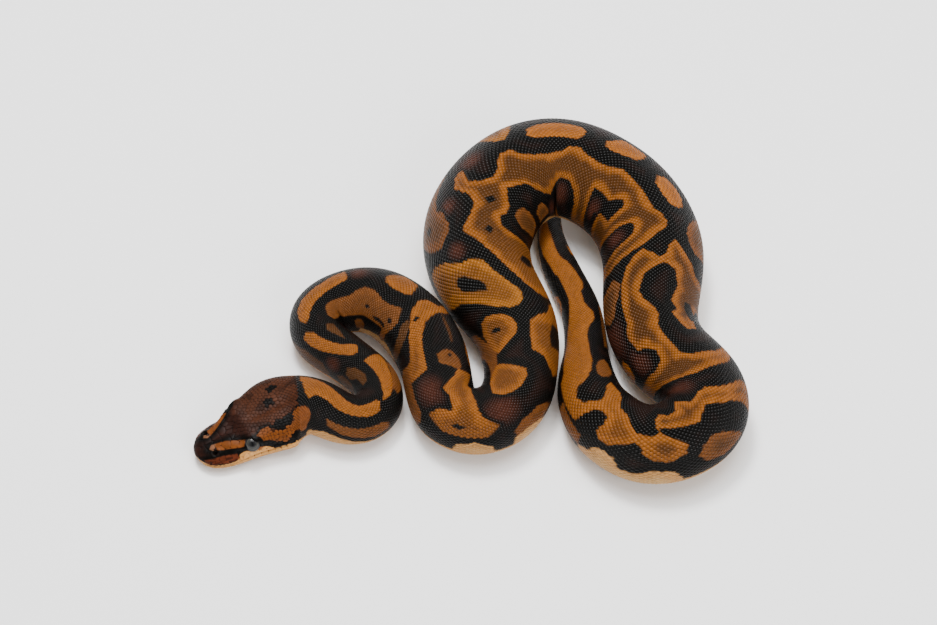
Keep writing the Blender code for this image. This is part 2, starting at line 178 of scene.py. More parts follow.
# Each mark: kind and its outline as (s, theta).
MARKS = {
    # head
    "left_canthal_stripe": ("cheek", [(3.6, -16), (5, -14), (7, -19), (9, -26), (10.6, -31), (11.3, -38),
        (10.8, -50), (9.4, -50), (7.6, -46), (5.8, -42), (4.6, -36), (3.6, -30)]),
    "left_stripe_front": ("snout", [(3.0, -22), (3.8, -11), (4.8, -13), (5.2, -24), (4.6, -34), (3.6, -31)]),
    "left_cheek": ("cheek", [(13.4, -37), (15, -30), (16.9, -33), (17.5, -47), (19.4, -53), (24, -50),
        (25, -33), (26.6, -27), (30, -33), (32.5, -47), (33, -60), (31.3, -87), (29.7, -92), (28.1, -87),
        (26.6, -73), (24.4, -67), (22.5, -73), (19.4, -82), (17.5, -77), (15.6, -63), (13.8, -57)]),
    "left_lip": ("labial", [(8.6, -93), (8.8, -80), (10.3, -70), (12.5, -76), (14.6, -84), (16.5, -98),
        (20.6, -105), (23.8, -97), (26.9, -109), (29.4, -122), (29, -150), (4, -150), (5.5, -104)]),
    "left_lip_front": ("rust", [(1.0, -72), (2, -63), (4, -60), (6, -61), (8.2, -70), (8.7, -90),
        (7, -96), (3, -97), (1.2, -94)]),
    # neck
    "nape_stripe": ("blotch", [(27.9, 47), (30.8, 37), (35, 25), (37.9, 17), (40, 7), (42.5, -5),
        (46.7, -10), (47, -20), (45.8, -37), (44.2, -38), (42, -30), (37.9, -18), (35.8, -10), (32.5, -8),
        (30.4, -18), (29.3, -7), (27.9, 27)]),
    "neck_first": ("blotch", [(47.7, -23), (50.4, -7), (55, 2), (59.6, 7), (59.8, -27), (59.6, -47),
        (57.9, -47), (55.8, -38), (49.2, -33)]),
    "neck_first_side": ("tan", [(51, -36), (54, -38), (57.5, -46), (56.5, -75), (52, -70), (50.6, -52)]),
    "neck_second": ("blotch", [(64.6, -15), (63.8, -15), (62.5, 0), (62.9, 13), (65, 27), (67.5, 38),
        (70, 47), (73.3, 53), (75, 52), (75.4, 37), (74.2, 25), (71.7, 22), (69.2, 17), (66.7, 7),
        (65.4, -7)]),
    "neck_third": ("blotch", [(76.7, 27), (77.5, 38), (79.6, 43), (81.3, 38), (83.3, 28), (85.8, 23),
        (88.3, 28), (90.8, 30), (91, 13), (90.8, 3), (86.7, -3), (83.3, -2), (80, 7), (77.5, 17)]),
    "neck_fourth": ("blotch", [(99.6, 13), (100.4, 27), (102.5, 43), (105.8, 40), (107, 23), (107.9, 10),
        (106.7, 2), (103.3, -2), (100.8, 2)]),
    "neck_left_side": ("tan", [(37, -47), (39, -52), (42, -60), (45.5, -64), (46.3, -75), (46.3, -92),
        (44, -95), (42, -86), (39.5, -75), (37.3, -60)]),
    "neck_left_cream": ("cream", [(31, -105), (34, -92), (37, -80), (39, -85), (41, -98), (44, -112),
        (47, -118), (47, -130), (30, -130)]),
    "neck_right_side": ("brown", [(52.5, 42), (53.5, 29), (56, 26), (60, 33), (62, 45), (61.5, 62),
        (59.5, 66), (57, 50), (54, 46)]),
    "neck_right_low": ("brown", [(55, 92), (58, 73), (62.5, 70), (64, 80), (61, 108), (54, 108)]),
    "neck_right_second": ("brown", [(66.5, 90), (69, 72), (74, 70), (77, 90), (75, 112), (68, 112)]),
    "neck_fleck": ("brown", [(67.5, -10), (72.5, 0), (74.2, -10), (73.3, -27), (70, -20)]),
    # first loop, left side
    "loop_flank": ("tan", [(75.4, -40), (77.5, -25), (80.8, -19), (86.7, -28), (90.8, -30), (93.3, -22),
        (95.8, -17), (98.8, -19), (103.3, -28), (106.7, -27), (110, -18), (111.3, -27), (112.7, -37),
        (112.4, -55), (111.2, -68), (111, -92), (108.4, -92), (108.8, -67), (104.2, -69), (91.7, -68),
        (86.7, -65), (80.8, -58), (77.5, -53)]),
    "loop_flank_patch": ("tan", [(91.5, -80), (93, -76), (97, -76), (99.5, -84), (98.5, -100),
        (92.5, -100)]),
    "loop_cream": ("cream", [(95, -101), (100, -97), (104, -92), (109, -86), (113, -84), (117, -92),
        (119, -100), (122, -130), (92, -130)]),
    "bend_band": ("blotch", [(110.5, 12), (111, 28), (113, 40), (112.4, 58), (114.4, 60), (115.2, 45),
        (115, 30), (116, 12), (117, 0), (119, -10), (121.5, -18), (125, -21), (130.4, -20), (131.3, -38),
        (131.6, -57), (126.6, -60), (125.8, -50), (122, -43), (119, -37), (117, -29), (115.4, -24),
        (113.8, -16), (112, -6)]),
    "bend_band_low": ("tan", [(126.2, -59), (131.5, -56), (134, -58), (137.2, -62), (137.6, -80),
        (137, -98), (127.5, -100), (125.6, -76)]),
    "bend_strand": ("brown", [(114, -20), (116.4, -29), (118.4, -45), (119.8, -66), (119.6, -94),
        (117, -94), (116.8, -70), (115.6, -50), (114, -36)]),
    "bend_spot": ("tan", [(125.2, 18), (125.9, 30), (127.4, 40), (129.6, 43), (131, 34), (130.2, 20),
        (129.4, 2), (126.6, 0)]),
    "bend_line": ("brown", [(115, 35), (119, 37), (123, 34), (123, 29), (118, 30)]),
    "bend_second": ("blotch", [(130.4, 67), (136.7, 47), (142.5, 37), (144.2, 17), (145.4, 0),
        (145.8, -17), (146.7, -33), (148.8, -50), (146.7, -67), (140.8, -67), (138.3, -53), (139.2, -33),
        (141.3, -27), (140.8, -17), (139.2, -5), (136.7, -5), (135.4, 7), (133.3, 23), (130.8, 33)]),
    "bend_drop": ("cream", [(142, -120), (143, -86), (145.2, -76), (147.4, -88), (148, -120)]),
    "bend_second_drop": ("tan", [(150.6, -72), (152.4, -59), (155.6, -60), (157.8, -74), (159, -90),
        (156.6, -92), (153, -82), (151, -86)]),
    "bend_second_cream": ("cream", [(150.6, -86), (153, -80), (155.4, -88), (156.8, -100), (157.5, -118),
        (150.5, -118)]),
    # second loop
    "middle_first": ("blotch", [(150.3, 10), (151.3, 22), (152.5, 32), (155, 40), (158, 46), (161.4, 46),
        (162, 34), (161.5, 20), (161.2, 3), (161, -12), (159.5, -17), (156.5, -16), (153.6, -10),
        (151.4, -1)]),
    "middle_bridge": ("tan", [(156, 43), (160, 52), (164, 62), (168, 76), (170, 100), (181, 100),
        (178, 80), (172, 62), (167, 42), (162, 39)]),
    "middle_second": ("blotch", [(165.8, 38), (168.6, 19), (170.2, 9), (171.6, 5), (173.6, 5),
        (175.8, 13), (177.6, 28), (178.8, 44), (178, 56), (174, 62), (168.6, 52)]),
    "middle_bright": ("bright", [(177.9, 7), (179.6, 23), (182.5, 37), (185.4, 50), (187.9, 63),
        (189.2, 80), (190.8, 93), (197.5, 83), (198, 67), (196.7, 47), (194.6, 33), (194.2, 17),
        (192.5, 7), (189.2, 3), (185, -5), (181.7, -15), (179.6, -13), (178.3, -5)]),
    "middle_flank": ("blotch", [(166.5, -17), (170, -14), (173.8, -15), (175.4, -27), (176.7, -47),
        (179, -57), (180, -70), (178, -88), (165, -87), (162.9, -67), (164.2, -50), (165.8, -37)]),
    "great_blotch": ("blotch", [(180.4, -53), (181.3, -37), (183.3, -27), (187.5, -17), (193.3, -8),
        (198.3, 3), (201.7, 17), (203.8, 13), (205.8, 7), (209.2, 4), (211.7, 10), (213.3, 30),
        (216.3, 37), (218.2, 35), (217.5, 27), (215.4, 17), (216.3, 3), (218.8, -5), (221.3, -3),
        (225, 7), (227.5, 3), (228.8, -8), (231.7, -17), (236.7, -21), (241.7, -18), (243.8, -10),
        (246.7, -7), (249.2, -12), (253.3, -14), (256.7, -10), (259.2, -2), (266, 0), (272.5, 3),
        (274.4, 10), (276.9, 15), (278.8, 12), (280, 3), (282.5, -7), (284.7, -20), (287.5, -43),
        (289.7, -63), (289.7, -90), (285.6, -90), (285, -67), (283.1, -53), (281.6, -37), (279.4, -25),
        (277.5, -22), (275.6, -25), (275.1, -40), (276, -58), (276, -105), (264, -105), (264.5, -56),
        (270, -53), (269, -27), (266.9, -23), (265.3, -30), (264, -38), (260, -38), (256.7, -40),
        (257.9, -67), (258.3, -107), (251, -107), (252, -73), (250.4, -57), (247.5, -48), (243.3, -48),
        (240, -55), (235.8, -60), (232.5, -67), (228.3, -60), (225.4, -50), (223.3, -37), (220, -30),
        (217.5, -23), (215, -27), (211.7, -33), (208.3, -32), (206.7, -25), (203.3, -27), (201.3, -37),
        (200, -53), (198, -84), (183, -84), (181, -72)]),
    "under_first": ("tan", [(206.2, -57), (207.4, -48), (209.4, -43), (212.6, -44), (215, -50),
        (216, -62), (216.4, -84), (211, -90), (208, -76)]),
    "under_second": ("tan", [(219.4, -72), (222, -67), (225, -68), (227.5, -76), (229.5, -92), (221, -92)]),
    "right_first": ("tan", [(200, 47), (200.8, 63), (204.2, 83), (210.8, 73), (218, 68), (218, 60),
        (212.5, 56), (209.2, 50), (207.9, 40), (205, 32), (202.5, 33)]),
    "right_second": ("bright", [(226.6, 57), (226.8, 38), (227.4, 25), (229, 20), (230.6, 25), (232, 38),
        (233, 54), (232.4, 100), (226, 100)]),
    "back_first": ("orange", [(233.4, 10), (234.2, 20), (236, 25), (240, 27), (244.6, 26), (246, 20),
        (246.2, 11), (245, 3), (240, 1), (236, 2), (234, 5)]),
    "back_second": ("orange", [(251.2, 17), (252, 24), (252.7, 34), (253.4, 42), (258.6, 44), (259.3, 32),
        (259, 21), (256.6, 14), (253.6, 9), (252, 11)]),
    "back_third": ("orange", [(264.2, 30), (264.8, 40), (267, 47), (270, 48), (272, 42), (272.7, 34),
        (271.6, 25), (269, 21), (266, 21)]),
    "right_third": ("tan", [(273.1, 70), (274.4, 57), (275.9, 45), (278.8, 39), (281.9, 45), (283.1, 55),
        (282.6, 80), (281, 104), (274, 104)]),
    # far side and front corner
    "ring_blotch": ("blotch", [(281.6, 23), (284.1, 35), (286.3, 50), (288.8, 60), (289, 100), (301, 100),
        (301, 68), (306.9, 50), (313, 37), (312.2, 23), (305, 18), (303.8, 27), (300.6, 22), (295, 32),
        (290, 27), (288.8, 13), (290.6, 0), (292.5, -10), (297.5, -17), (300, -12), (302.5, -2), (305, 0),
        (307.5, -8), (313.1, -10), (316.9, -12), (319.1, -3), (320, 13), (320.6, 30), (320, 47),
        (318.8, 60), (318.4, 96), (322, 96), (321.3, 60), (323.1, 40), (324.4, 0), (325, -13),
        (324.4, -33), (322.5, -50), (320, -63), (318.1, -80), (316.9, -110), (313.1, -110), (314.1, -87),
        (314.4, -67), (315.3, -53), (314.7, -37), (312.5, -31), (310.6, -37), (309.7, -50), (306.3, -52),
        (303.8, -43), (295, -40), (290, -33), (286.9, -23), (285.3, -13), (287.5, 7), (286.3, 13),
        (283.1, 17)]),
    "side_drop": ("tan", [(292.4, -54), (294.6, -41), (297.4, -46), (300.9, -59), (301.4, -72),
        (300, -86), (297.4, -94), (294.6, -90), (294.2, -72)]),
    "side_fleck": ("orange", [(308, -84), (310, -80), (311.5, -88), (311.5, -106), (308, -104)]),
    "corner_blotch": ("blotch", [(325.9, 70), (326.3, 50), (327.8, 33), (329.1, 17), (330, -3),
        (331.9, -10), (336.3, -11), (337.2, -20), (339.1, -30), (340.3, -23), (341.3, -12), (343.8, -8),
        (346.2, -14), (347.4, -4), (347.2, 8), (346.6, 18), (348, 23), (350.6, 22), (352.3, 12),
        (353.4, 3), (355.2, -2), (357.4, -6), (358.6, -13), (360, -23), (362.5, -31), (366.2, -34),
        (368.4, -33), (366.6, -20), (364, -9), (362.5, -2), (362.2, 7), (363.4, 20), (364.1, 30),
        (366.6, 37), (368.8, 27), (370, 13), (371.6, 3), (373.8, -5), (377.5, -10), (381.3, -7),
        (387.5, -2), (390, -7), (391.6, -17), (393.1, -28), (395, -27), (396.9, -13), (398.1, -5),
        (401.9, -8), (403.1, -20), (405, -28), (410, -22), (412.5, -13), (414.4, 0), (416.9, 5),
        (423.8, 5), (427.5, 13), (436, 20), (436, 50), (423.8, 67), (417.5, 57), (414.4, 48), (410.6, 43),
        (408.8, 35), (400.6, 35), (397.5, 42), (393.8, 50), (390, 60), (378.8, 60), (375, 55),
        (372.5, 65), (367.5, 63), (362.5, 60), (361.8, 36), (360.8, 22), (359.2, 16), (357.6, 19),
        (357.2, 30), (357.6, 44), (356.4, 54), (354.6, 54), (352.6, 45), (350.8, 36), (349.6, 38),
        (349, 50), (347.6, 58), (345.6, 62), (342.8, 53), (342.2, 40), (343.8, 30), (346.3, 20),
        (346.6, 10), (343, 14), (338.1, 20), (336.9, 13), (334.4, 7), (332.8, 20), (330.9, 37), (330, 53),
        (329.7, 100), (325.9, 100)]),
    "corner_right": ("tan", [(332.8, 87), (333.6, 72), (336, 50), (338, 45), (340, 52), (341, 64),
        (340, 77), (337, 88)]),
    "corner_cream": ("cream", [(343.5, 100), (344.8, 79), (347.6, 76), (350, 87), (352, 86), (353, 70),
        (355, 66), (356.5, 70), (357.6, 84), (360, 92), (360, 130), (343, 130)]),
    "tail_side": ("tan", [(360, 70), (368, 66), (368, 95), (360, 95)]),
    "tail_fleck": ("tan", [(370.6, -19), (372.4, -14), (375.4, -16), (378, -26), (379, -38), (378.2, -48),
        (375, -53), (372.8, -46), (371, -34)]),
    "tail_belly_side": ("tan", [(385, -55), (391, -50), (398, -56), (397, -75), (386, -76)]),
    "tail_belly_second": ("orange", [(415.5, -47), (419.5, -45), (419, -66), (416, -66)]),
}

# Dark marks inside or beside the blotches, laid over them.
SPOTS = {
    "crown_spot": [(18.8, 8), (20, 13), (21.5, 8), (21.4, -1), (19.5, -3)],
    "crown_second": [(21, 30), (22.3, 36), (23.5, 30), (23, 20), (21.6, 20)],
    "temple": [(17.3, -38), (19, -31), (22, -33), (25, -30), (24.8, -46), (20, -53), (17.6, -48)],
    "nape": [(26, -12), (28, -10), (31, -20), (30, -27), (27.5, -24)],
    "nape_line": [(27, 25), (28.4, 25), (28.6, -10), (27.4, -10)],
    "left_loreal": [(4.6, -43), (6.5, -48), (10.2, -53), (10.6, -62), (8, -66), (5, -60)],
    "left_ring": [(9.9, -57), (10.4, -43), (11.4, -33), (13.0, -33), (14.0, -44), (14.3, -57),
        (13.8, -71), (12.5, -83), (11.1, -79), (10.2, -68)],
    "loop_second_eye": [(97.4, -49), (98.8, -46), (100.6, -49), (99, -53)],
    "loop_third_eye": [(109, -45), (110, -42), (111, -48), (110, -52)],
    "loop_slit": [(103, -60), (105.6, -56), (109, -58), (110, -64), (107, -62.5), (104, -64)],
    "bend_slit": [(114.4, -8), (115.2, -4), (115.8, -14), (115, -18)],
    "bend_spot_eye": [(126.2, 22), (126.8, 27), (127.6, 23), (126.9, 17)],
    "bend_eye": [(141.9, -50), (142.9, -45), (144.2, -49), (143.2, -56)],
    "middle_slit": [(172.2, 30), (173.4, 28), (174, 40), (172.8, 46)],
    "bright_eye": [(185, 23), (186.7, 33), (188.8, 48), (191.3, 52), (192.5, 47), (192, 37), (189.6, 27),
        (187.5, 21)],
    "flank_core": [(169, -52), (171.5, -48), (174.5, -55), (174.5, -84), (170, -86)],
    "great_first_eye": [(188.5, -50), (190.5, -40), (192.5, -48), (192, -64), (189.2, -65)],
    "great_second_eye": [(199.8, -12), (201.2, -6), (202.7, -12), (201.4, -17)],
    "great_third_eye": [(210, -12), (211.6, -5), (212.9, -12), (211.8, -17)],
    "right_eye": [(204.2, 62), (205.5, 68), (206.6, 62), (205.4, 57)],
    "ring_dark": [(300, 42), (304, 39), (309, 40), (309, 52), (304, 57), (300, 54)],
    "great_window": [(262, -62), (263.4, -60), (263.4, -80), (262, -82)],
}

# How far a blotch's middle darkens from its rim, and its lower part does, along the body: s and share.
INNER = ((0, 115, 135, 190, 205, 345, 365), (0.3, 0.35, 0.7, 0.7, 1.0, 1.0, 0.2))
LOWER = ((100, 112, 345, 355), (0, 0.45, 0.45, 0.2))
# Angle from the back at which the cream belly begins: s and degrees.
BELLY_EDGE = ((0, 9, 12, 30, 45), (97, 98, 118, 118, 110))

# Places where the dark ground warms to red-brown: s, theta and reach in mm.
WARM = [(93.5, 18, 3.2), (135.5, -27, 5.0), (150, -27, 5.0), (197.5, 30, 3.2), (209, 34, 3.2),
        (221, 32, 4.2), (245, -68, 5.0), (261, -62, 4.5), (232, -88, 4.0), (279, -50, 4.5),
        (304, -78, 6.5), (311.5, -60, 4.0), (330, -42, 6.0), (40, -68, 2.0), (66, 60, 3.0), (382, 78, 4.0)]

# Flank blotches on the side that is turned away: middle, half length, angle of the top.
RIGHT_FLANK = [(40, 4.5, 66), (92, 6.5, 66), (108, 5, 74), (124, 5, 64), (142, 5.5, 66), (221, 5, 84),
               (246, 6.5, 68), (262, 6, 72), (310, 5, 76), (384, 5, 74), (402, 4.5, 66), (420, 4, 84)]
# Degrees that the head's marks lie lower on its right side.
LOWER_ON_RIGHT = {"left_cheek": 26, "left_canthal_stripe": 7, "left_stripe_front": 7}
LEFT_FLANK = [(240, 5, -86), (334, 6, -78), (350, 5.5, -70), (371, 5, -72), (406, 4, -68), (428, 4, -60)]


def flank_blotch(middle, half, top):
    """Outline of a blotch that rises from the belly's edge, and of the dark eye in it."""
    side = 1 if top > 0 else -1
    low, high = 122.0, abs(top)
    steps = [(-1.0, low), (-0.86, high + 22), (-0.5, high + 6), (0.0, high), (0.55, high + 5),
             (0.9, high + 24), (1.0, low)]
    eye = [(-0.28, high + 17), (0.0, high + 11), (0.3, high + 17), (0.05, high + 27)]
    return ([(middle + half * u, side * v) for u, v in steps],
            [(middle + half * u, side * v) for u, v in eye])


def mirrored(outline):
    """The same mark on the animal's other side."""
    return [(s, -theta) for s, theta in outline]


def all_marks():
    """Every mark and dark spot, with the head's left ones repeated on its right."""
    marks = dict(MARKS)
    spots = dict(SPOTS)
    for name in [n for n in MARKS if n.startswith("left_")]:
        kind, outline = MARKS[name]
        lower = LOWER_ON_RIGHT.get(name, 0)
        lowered = [(s, theta + lower) for s, theta in mirrored(outline)]
        marks[name.replace("left_", "right_")] = (kind, lowered)
    spots["right_loreal"] = mirrored(SPOTS["left_loreal"])
    spots["right_ring"] = mirrored(SPOTS["left_ring"])
    for number, (middle, half, top) in enumerate(RIGHT_FLANK + LEFT_FLANK):
        outline, eye = flank_blotch(middle, half, top)
        marks["flank_%d" % number] = ("blotch", outline)
        spots["flank_%d" % number] = eye
    return marks, spots


# ---------------------------------------------------------------- smooth curves and tables
def natural_spline(t, values):
    """Second derivatives of the smooth curve through values at t, free at both ends."""
    n = len(t)
    h = np.diff(t)
    system = np.eye(n)
    right = np.zeros((n,) + values.shape[1:])
    for i in range(1, n - 1):
        system[i, i - 1:i + 2] = h[i - 1] / 6, (h[i - 1] + h[i]) / 3, h[i] / 6
        right[i] = (values[i + 1] - values[i]) / h[i] - (values[i] - values[i - 1]) / h[i - 1]
    return np.linalg.solve(system, right)


def read_spline(t, values, at):
    """The smooth curve's points at the parameters in at."""
    second = natural_spline(t, values)
    i = np.clip(np.searchsorted(t, at) - 1, 0, len(t) - 2)
    h = t[i + 1] - t[i]
    a = ((t[i + 1] - at) / h)[:, None]
    b = 1 - a
    h2 = (h * h / 6)[:, None]
    return a * values[i] + b * values[i + 1] + ((a**3 - a) * second[i] + (b**3 - b) * second[i + 1]) * h2


def run_along(points):
    """Distance from the first point of a line to each of its points."""
    return np.concatenate([[0], np.cumsum(np.linalg.norm(np.diff(points, axis=0), axis=1))])


def trace_route():
    """Middle line at even small steps: distance, x and y, heading and turn rate."""
    points = np.array(ROUTE, float)
    t = run_along(points)
    line = read_spline(t, points, np.linspace(0, t[-1], 4000))
    run = run_along(line)
    s = np.arange(0, run[-1], STEP)
    xy = np.column_stack([np.interp(s, run, line[:, 0]), np.interp(s, run, line[:, 1])])
    heading = np.unwrap(np.arctan2(np.gradient(xy[:, 1]), np.gradient(xy[:, 0])))
    turn = np.convolve(np.gradient(heading, s), np.ones(9) / 9, mode="same")
    return s, xy, heading, turn


PATH = trace_route()
LENGTH = PATH[0][-1]


def table(rows, at):
    """Value of a (distance, value) table at distances, rounded off between its rows."""
    d = np.array([row[0] for row in rows], float)
    v = np.array([row[1] for row in rows], float)
    at = np.asarray(at, float)
    spread = np.linspace(-1, 1, 5) * 2.0 * np.clip(at / 30, 0.05, 1)[..., None]
    return np.interp(np.clip(at[..., None] + spread, d[0], d[-1]), d, v).mean(axis=-1)


def smooth(low, high, x):
    """0 below low, 1 above high, and a soft rise between."""
    x = np.clip((x - low) / (high - low), 0, 1)
    return x * x * (3 - 2 * x)


def hill(x, reach):
    """A smooth hill of height 1 round 0."""
    x = np.clip(abs(x) / reach, 0, 1)
    return (1 - x * x) ** 2


def half_width(s):
    """Half width of the body at a distance, for measuring on its unrolled surface."""
    head = np.interp(s, *HEAD_HALF_WIDTH)
    return np.where(s < HEAD_BLEND[1], head, table(GIRTH, s) * (1 + table(FULLNESS, s)) / 2)


# ---------------------------------------------------------------- the outline in space
def body_outline(s, t):
    """Across and up of the body's sections, one row for each distance."""
    angle = 2 * pi * t[None, :]
    tip = np.clip(1 - (LENGTH - s) / TAIL_TIP, 0, 1)
    width = (table(GIRTH, s) * np.sqrt(1 - tip * tip))[:, None]
    height = width * table(FULLNESS, s)[:, None]
    middle = height * (1 - SINK) + ARCH_RISE * hill(s - ARCH_AT, ARCH_REACH)[:, None]
    saddle = SADDLE_DEPTH * hill(s - ARCH_AT, SADDLE_REACH)
    floor = (saddle + EASE_RISE * hill(s - EASE_AT, EASE_REACH))[:, None]
    return width * np.sin(angle), np.maximum(middle + height * np.cos(angle), floor)


def head_outline(s, t):
    """Across and up of the head's sections, smooth through crown, canthus, lip and jaw."""
    rows = np.array(HEAD_SECTIONS, float)
    at = np.sqrt(np.clip(s, 0, HEAD_BLEND[1]))
    values = read_spline(np.sqrt(rows[:, 0]), rows[:, 1:], at)
    crown, canthus, canthus_z, lip, lip_z, jaw, jaw_z, chin = values.T
    zero = np.zeros_like(crown)
    loop = np.array([(zero, crown), (canthus, canthus_z), (lip, lip_z), (jaw, jaw_z), (zero, chin),
                     (-jaw, jaw_z), (-lip, lip_z), (-canthus, canthus_z)])
    share = np.array([0, 0.12, 0.27, 0.38, 0.5, 0.62, 0.73, 0.88])
    knots = np.concatenate([share - 1, share, share + 1])
    flat = np.concatenate([loop] * 3).reshape(len(knots), -1)
    curve = read_spline(knots, flat, t).reshape(len(t), 2, len(s))
    across, up = curve[:, 0].T, curve[:, 1].T
    cap = np.sqrt(1 - (np.clip(-s, 0, SNOUT_CAP) / SNOUT_CAP * 0.97) ** 2)[:, None]
    return across * cap, SNOUT_MIDDLE + (np.maximum(up, 0) - SNOUT_MIDDLE) * cap


def head_frame():
    """Snout tip, and unit vectors from it to the nape and to the animal's left."""
    angle = np.interp(5.0, PATH[0], PATH[2])
    return (np.append(PATH[1][0], 0.0), np.array([cos(angle), sin(angle), 0.0]),
            np.array([sin(angle), -cos(angle), 0.0]))


def mouth_height(a):
    """Height of the mouth line along the head."""
    return np.interp(a, [row[0] for row in MOUTH], [row[1] for row in MOUTH])


def head_relief(points):
    """Lift of the head's surface at points: sockets, brows, lips, nostrils and jaw muscles."""
    tip, forward, left = head_frame()
    a = (points - tip) @ forward
    side = (points - tip) @ left
    out = np.abs(side)
    z = points[..., 2]
    lift = np.zeros_like(a)
    flank = smooth(2.0, 4.0, out)
    # eye socket and the raised skin round it
    eye = np.hypot(a - EYE_AT, (z - EYE_HEIGHT) * 1.05)
    lift -= 1.0 * flank * (1 - smooth(0.95, 1.5, eye))
    lift += 0.14 * flank * hill(eye - 1.95, 0.6)
    # brows, hollow before the eye, and ridge of the snout; brows and ridge run right across
    lift += 0.34 * hill(np.hypot((a - 12.6) / 3.2, (z - 8.0) / 1.1), 1.0)
    lift -= 0.40 * flank * hill(np.hypot((a - 8.4) / 2.8, (z - 5.0) / 1.5), 1.0)
    lift += 0.20 * hill(np.hypot((a - 7.6) / 4.2, (z - 6.4) / 0.9), 1.0)
    # line of the shut mouth and swollen upper lip
    lip = z - mouth_height(a)
    closed = (1 - smooth(MOUTH_END - 1.5, MOUTH_END, a)) * smooth(0.3, 0.9, out + a)
    lift -= 0.55 * closed * hill(lip, 0.34)
    lift += 0.16 * closed * hill(lip - 0.85, 0.7) * smooth(0.0, 3.0, a)
    # nostril with its raised rim; it has no height of its own, so it has a twin under the chin
    nostril = np.hypot(a - 3.9, out - 3.25)
    lift -= 0.75 * hill(nostril, 0.62)
    lift += 0.14 * hill(nostril - 0.95, 0.45)
    # jaw muscles, then the grooves along the middle of the crown and of the snout
    lift += 0.45 * hill(np.hypot((a - 20.5) / 8.0, (z - 8.0) / 3.0), 1.0)
    lift -= 0.42 * hill(np.hypot((a - 20.5) / 9.0, side / 1.9), 1.0) * smooth(6.0, 8.0, z)
    lift -= 0.22 * hill(np.hypot((a - 7.0) / 5.0, side / 2.0), 1.0) * smooth(4.5, 5.5, z)
    return lift * smooth(0.4, 1.6, a) * (1 - smooth(27.0, 31.0, a))


class Surface:
    """The animal's true outline as a fine grid that can be read at any place and lift."""

    def __init__(self):
        snout = np.arange(0, 1.1, 0.1) ** 2
        head = np.arange(1.12, 31, 0.14)
        self.s = np.concatenate([CAP_RINGS, snout, head, np.arange(31, LENGTH, STEP), [LENGTH]])
        self.t = np.arange(COLUMNS) / COLUMNS
        self.points = self.map_outline()
        self.normals = self.measure()
        rows = self.s < 32
        self.points[rows] += self.normals[rows] * head_relief(self.points[rows])[..., None]
        self.points[..., 2] = np.maximum(self.points[..., 2], 0)
        self.normals = self.measure()

    def map_outline(self):
        """Sections squeezed on tight bends and set out along the middle line."""
        across, up = body_outline(self.s, self.t)
        rows = self.s < HEAD_BLEND[1]
        body = smooth(*HEAD_BLEND, self.s[rows])[:, None]
        head_across, head_up = head_outline(self.s[rows], self.t)
        across[rows] = body * across[rows] + (1 - body) * head_across
        up[rows] = body * up[rows] + (1 - body) * head_up
        distance, xy, heading, turn = PATH
        rate = np.interp(self.s, distance, turn)[:, None]
        rate = np.where(np.abs(rate) < 1e-6, 1e-6, rate)
        share = across * rate
        room = BEND_LIMIT - BEND_SOFT
        over = np.maximum(share - BEND_SOFT, 0)
        across = np.where(share > BEND_SOFT, BEND_SOFT + room * np.tanh(over / room), share) / rate
        angle = np.interp(self.s, distance, heading)[:, None]
        ahead = np.minimum(self.s, 0)[:, None]
        x = np.interp(self.s, distance, xy[:, 0])[:, None] - across * np.sin(angle) + ahead * np.cos(angle)
        y = np.interp(self.s, distance, xy[:, 1])[:, None] + across * np.cos(angle) + ahead * np.sin(angle)
        return np.stack([x, y, up], axis=-1)

    def measure(self):
        """Outward normals, and the surface's stretch along and round."""
        self.along = np.gradient(self.points, self.s, axis=0)
        self.round = (np.roll(self.points, -1, 1) - np.roll(self.points, 1, 1)) * (COLUMNS / 2)
        heading = np.interp(self.s, PATH[0], PATH[2])
        forward = np.stack([np.cos(heading), np.sin(heading), 0 * heading], axis=1)[:, None, :]
        # where a tight bend crowds the sections, the section's own plane gives the normal
        even = smooth(0.3, 0.7, (self.along * forward).sum(-1))[..., None]
        even = np.where(self.s[:, None, None] < 20, 1.0, even)
        normal = np.cross(even * self.along + (1 - even) * forward, self.round)
        size = np.linalg.norm(normal, axis=-1, keepdims=True)
        return normal / np.maximum(size, 1e-9)

    def read(self, grid, s, t):
        """A grid's values at places, between its rows and columns."""
        i = np.clip(np.searchsorted(self.s, s) - 1, 0, len(self.s) - 2)
        a = np.clip((s - self.s[i]) / (self.s[i + 1] - self.s[i]), 0, 1)[:, None]
        column = (t % 1.0) * COLUMNS
        j = np.floor(column).astype(int)
        b = (column - j)[:, None]
        j = j % COLUMNS
        k = (j + 1) % COLUMNS
        return ((1 - a) * ((1 - b) * grid[i, j] + b * grid[i, k])
                + a * ((1 - b) * grid[i + 1, j] + b * grid[i + 1, k]))

    def place(self, s, t, lift=0.0):
        """Points in mm at places, lifted off the outline."""
        normal = self.read(self.normals, s, t)
        normal /= np.maximum(np.linalg.norm(normal, axis=1, keepdims=True), 1e-9)
        return self.read(self.points, s, t) + normal * np.reshape(lift, (-1, 1))

    def girth(self, s, steps):
        """Distance round the section at s, measured in even steps."""
        ring = self.place(np.full(steps + 1, s), np.linspace(0, 1, steps + 1))
        return np.linalg.norm(np.diff(ring, axis=0), axis=1).sum()

    def side_share(self, a, z, side):
        """Share round the section where the head's right (1) or left (-1) side is at height z."""
        t = np.linspace(0.02, 0.49, 200)
        heights = self.place(np.full(200, a), t)[:, 2]
        found = float(np.interp(-z, -heights, t))
        return found if side > 0 else 1 - found


